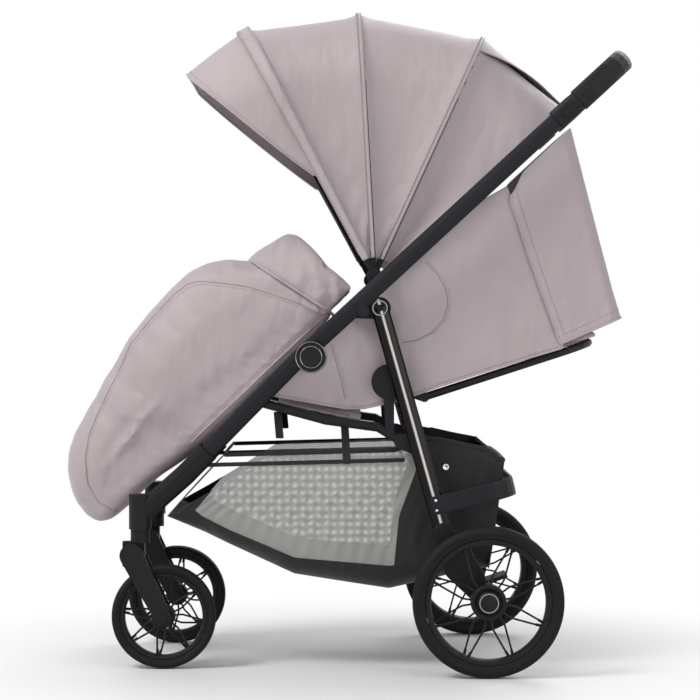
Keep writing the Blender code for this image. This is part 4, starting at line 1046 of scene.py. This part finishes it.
def bagPlace(u, v):
    (front, rear), half = basket["ends"], basket["half"]
    pocket, turnAt, lowAt = basket["pocketFrom"], basket["pocketShare"], basket["bandShare"]
    y0 = mix(front, pocket, v / turnAt) if v < turnAt else mix(pocket, rear, (v - turnAt) / (1 - turnAt))
    top = lineAt(basket["top"], y0)
    tall = top - lineAt(basket["low"], y0)
    corner = min(basket["corner"], tall * 0.45)
    whole = 2 * (tall - corner + math.pi / 2 * corner + half - corner)
    edge = max(0.02, (top - lineAt(basket["band"], y0)) / whole)
    way = min(u, 1 - u)
    way = mix(0, edge, way / lowAt) if way < lowAt else mix(edge, 0.5, (way - lowAt) / (0.5 - lowAt))
    x, r, nx, _ = archRun(way if u <= 0.5 else 1 - way, half, tall, 0.0, corner)
    share = r / tall if tall > 1e-6 else 0
    bow = basket["bow"] * hump(share)
    sag = basket["sag"] * (1 - (x / half) ** 2) * hump(v) * ease((share - 0.7) / 0.3)
    pleat = 0.0013 * math.sin(240 * y0 + 14 * share) * hump(share) * (1 if y0 < pocket else 0.4)
    frontY, rearY = lineAt(basket["frontEnd"], top - r), lineAt(basket["rearEnd"], top - r)
    y = mix(frontY, rearY, (y0 - front) / (rear - front))
    return Vector((x + nx * (pleat - bow * 0.3) * (1 if share < 0.9 else 0), y, top - r - sag))


bm = bmesh.new()
bmesh.ops.create_grid(bm, x_segments=90, y_segments=130, size=0.5)
for face in bm.faces:
    p = face.calc_center_median()
    net = abs(p.x) > 0.5 - basket["bandShare"] and basket["frontShare"] < p.y + 0.5 < basket["pocketShare"]
    face.material_index = 0 if net else 1
for v in bm.verts:
    v.co = bagPlace(v.co.x + 0.5, v.co.y + 0.5)
bmesh.ops.recalc_face_normals(bm, faces=bm.faces)
shell = meshed("bag", bm, [looks["net"], looks["black"]])
shell.data.shade_smooth()
modified(shell, "SOLIDIFY", thickness=basket["thickness"], offset=0)
applied(shell)


def ribbon(name, points, wide, way):  # a flat strip of webbing along points, wide along way
    last, way = len(points) - 1, Vector(way) * wide
    return cloth(name, last, 3, lambda u, v: points[round(u * last)] + way * (v - 0.5), "webbing", 0.0016)


def acrossPanel(line, bulge):  # an end panel of the bag, from side to side
    def place(u, v):
        y, z = follow(line, v)
        puff = bulge * hump(u) ** 0.7 * hump(v)
        return Vector((basket["half"] * (1 - 2 * u), y + puff, z))
    return cloth("end", 40, 16, place, "black", basket["thickness"])


half, upright = basket["half"], (0, 0, 1)
parts = [shell, acrossPanel(basket["front"], -0.002), acrossPanel(basket["rear"], 0.0025)]
for side, sign in sides.items():
    x = sign * (half + 0.0012)
    rim = sampled(90, lambda f: at(x, follow(basket["top"][1:], f)) - Vector((0, 0, 0.001)))
    lane = sampled(60, lambda f: at(x + sign * 0.0008, follow(basket["second"], f)))
    parts += [ribbon("binding", line, basket["webbing"], upright) for line in (rim, lane)]
    for y, low, high in basket["straps"]:
        drop = sampled(20, lambda f: Vector((sign * (half + 0.0024), y + 0.004 * (1 - f), mix(low, high, f))))
        parts.append(ribbon("strap", drop, basket["strapWide"], (0, 1, 0)))
    for step in basket["pocketSeams"]:
        def seamPlace(f):
            z = mix(0.392, 0.366, f) - 0.035 * step - 0.004 * hump(f)
            return Vector((x + sign * 0.0003, mix(basket["pocketFrom"], 0.255, f), z))

        parts.append(stitches("pocketSeam", sampled(80, seamPlace), "webbing"))
    snap = fromPhoto(*basket["snap"], 0.181)
    parts.append(spun("snap", basket["snapProfile"], sign * (half + 0.0008), snap, "trim", 24, sign))
for y, z in basket["crossings"]:
    row = [Vector((half * (1 - i / 20), y, z + 0.001)) for i in range(41)]
    parts.append(ribbon("binding", row, basket["webbing"], upright))
y, z = basket["roll"]
row = sampled(60, lambda f: Vector((half * (0.985 - 1.97 * f), y + 0.002 * hump(f), z)))
parts.append(cord("rearRoll", row, basket["rollRadius"], "black", sides=4))
bagPiece = joined("basketBag", parts)
settled(bagPiece, "front_frame", "basket")
foldedFlat(bagPiece, -0.035)


# Wheels: grooved tyres, rims with hub and bent wire spokes, caps

wheels = {
    "rear": {"x": 0.2725, "centre": (0.2328, 0.1275), "radius": 0.1275, "width": 0.035, "tyre": 0.021,
             "rim": 0.010, "hub": 0.030, "knee": 0.045, "bore": 0.0063, "start": 22.5, "steps": 128},
    "front": {"x": 0.160, "centre": (-0.3195, 0.090), "radius": 0.090, "width": 0.030, "tyre": 0.015,
              "rim": 0.008, "hub": 0.020, "knee": 0.032, "bore": 0.0043, "start": -8, "steps": 112},
}
tread = {"grooves": (-0.42, -0.14), "groove": 0.05, "depth": 0.0014, "wire": 0.0017, "points": 8,
         "rimShare": 0.38, "rimGap": 0.0003, "crown": 0.60, "nipple": 1.45}
# one side of the tyre, as shares of half its width and of its height
tyreSide = ((-0.78, 0), (-0.86, 0.10), (-0.90, 0.20), (-0.885, 0.24), (-0.97, 0.38), (-1.0, 0.54),
            (-0.97, 0.68), (-0.955, 0.70), (-0.90, 0.82), (-0.78, 0.92))

print("stage: wheels")


def mirrored(left):  # a profile and its mirror image
    return left + [(-a, r) for a, r in reversed(left)]


def tyreProfile(spec):
    outer, crown, wide = spec["radius"], tread["crown"], tread["groove"]
    left = [(a, outer - spec["tyre"] + share * spec["tyre"]) for a, share in tyreSide]
    left.append((-crown, outer - 0.0010))
    for g in tread["grooves"]:
        top = outer - 0.0009 * (g / crown) ** 2
        floor = top - tread["depth"]
        left += [(g - wide, top), (g - wide * 0.7, floor), (g + wide * 0.7, floor), (g + wide, top)]
    return [(a * spec["width"] / 2, r) for a, r in mirrored(left)]


def rimSizes(spec):  # the rim's outer and inner radius and half width
    outer = spec["radius"] - spec["tyre"] - tread["rimGap"]
    return outer, outer - spec["rim"], spec["width"] * tread["rimShare"]


def rimProfile(spec):
    outer, inner, half = rimSizes(spec)
    return mirrored([(-half + 0.001, outer), (-half, outer - 0.0008), (-half, inner + 0.0034),
                     (-half + 0.0008, inner + 0.0018), (-half * 0.72, inner + 0.0006), (-half * 0.5, inner)])


def hubProfile(spec):
    hub, half, bore = spec["hub"], rimSizes(spec)[2], spec["bore"]
    return mirrored([(-half, bore), (-half, hub * 0.42), (-half + 0.0010, hub * 0.45),
                     (-half + 0.0010, hub * 0.74), (-half, hub * 0.78), (-half, hub - 0.0016),
                     (-half + 0.0006, hub - 0.0005), (-half + 0.0016, hub)])


def spokes(spec, x):
    inner, half = rimSizes(spec)[1:]
    knee = spec["knee"]
    wire = ((14, spec["hub"] * 0.8), (14, knee * 0.93), (13.4, knee), (12.0, knee * 1.09),
            (2, inner + spec["rim"] * 0.4))
    nipple = ((3.2, inner - 0.008), (2, inner + 0.001))
    parts = []
    for i in range(tread["points"]):
        angle = spec["start"] + 360 * i / tread["points"]
        for lean in (-1, 1):
            for stops, size in ((wire, 1.0), (nipple, tread["nipple"])):
                line = [shifted(spec["centre"], angle + lean * a, r) for a, r in stops]
                line = [at(x + lean * half * 0.35, p) for p in line]
                parts.append(cord("wire", line, tread["wire"] * size, "plastic"))
    return parts


for end, spec in wheels.items():
    for side, sign in sides.items():
        x, body = sign * spec["x"], f"{end}_wheel_{side}"
        tyre = spun(f"{end}Tyre{side.title()}", tyreProfile(spec), x, spec["centre"], "rubber", spec["steps"])
        settled(tyre, body, f"{end}_tyre_{side}")
        parts = [spun("rim", rimProfile(spec), x, spec["centre"], "plastic", spec["steps"]),
                 spun("hub", hubProfile(spec), x, spec["centre"], "plastic", 64)]
        wheel = joined(f"{end}Wheel{side.title()}", parts + spokes(spec, x))
        settled(wheel, body, f"{end}_wheel_rim_{side}")

cap = {"rim": ((0.0003, 0.0001), (0.0003, 0.0192), (0.0012, 0.0200), (0.0046, 0.0196), (0.0066, 0.0184),
               (0.0076, 0.0166), (0.0070, 0.0156), (0.0070, 0.0142), (0.0078, 0.0132), (0.0086, 0.0110),
               (0.0089, 0.0001)),
       "ring": ((0.0066, 0.0164), (0.0078, 0.0163), (0.0078, 0.0147), (0.0066, 0.0146))}
spec = wheels["rear"]
for side, sign in sides.items():
    face = sign * (spec["x"] + rimSizes(spec)[2])
    parts = [spun(key, cap[key], face, spec["centre"], look, 64, sign)
             for key, look in (("rim", "plastic"), ("ring", "chrome"))]
    settled(joined(f"rearHubCap{side.title()}", parts), f"rear_wheel_{side}", f"rear_hub_cap_{side}")


# Round covers on the frame sides: a black disc with two bright rings

disc = {"radius": 0.0270, "height": 0.0080, "outerRing": 0.0256, "innerRing": 0.0182,
        "place": (-0.1478, -0.0117)}

print("stage: covers")
r, h, ringOut, ringIn = disc["radius"], disc["height"], disc["outerRing"], disc["innerRing"]
body = [(-h, 0.0001), (-h, r - 0.0012), (-h + 0.0012, r), (h - 0.0016, r), (h - 0.0004, r - 0.0006),
        (h - 0.0010, ringOut - 0.0012), (h - 0.0010, ringIn + 0.0010), (h - 0.0010, ringIn - 0.0009),
        (h, ringIn - 0.0016), (h, 0.0001)]
for side, sign in sides.items():
    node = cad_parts[f"hinge_cover_{side}"]
    xs = [(node.matrix_world @ v.co).x for v in node.data.vertices]
    x, centre = (min(xs) + max(xs)) / 2, onTube(*disc["place"])
    parts = [spun("cover", body, x, centre, "plastic", 96, sign)]
    for radius in (ringOut, ringIn):
        ring = [(h - 0.0014, radius + 0.0008), (h + 0.0001, radius + 0.0004), (h + 0.0003, radius),
                (h + 0.0001, radius - 0.0004), (h - 0.0014, radius - 0.0008)]
        parts.append(spun("ring", ring, x, centre, "chrome", 96, sign))
    settled(joined(f"hingeCover{side.title()}", parts), "front_frame", f"hinge_cover_{side}")


# Small trim: a ring and two rivets on each rear leg

trim = {"ringX": 0.2140, "ring": ((0.0098, 0.0132), (0.0112, 0.0130), (0.0112, 0.0112), (0.0098, 0.0110)),
        "rivetX": 0.2302, "rivets": ((436, 501), (437, 511)),
        "rivet": ((-0.0004, 0.0001), (-0.0004, 0.0026), (0.0006, 0.0024), (0.0013, 0.0014), (0.0015, 0.0001))}

print("stage: trim")
for side, sign in sides.items():
    parts = [spun("ring", trim["ring"], sign * trim["ringX"], rearLeg["pivot"], "chrome", 48, sign)]
    for px, py in trim["rivets"]:
        centre = fromPhoto(px, py, 0.232)
        parts.append(spun("rivet", trim["rivet"], sign * trim["rivetX"], centre, "trim", 20, sign))
    settled(joined(f"rearLegTrim{side.title()}", parts), "rear_frame")


print("stage: finish")
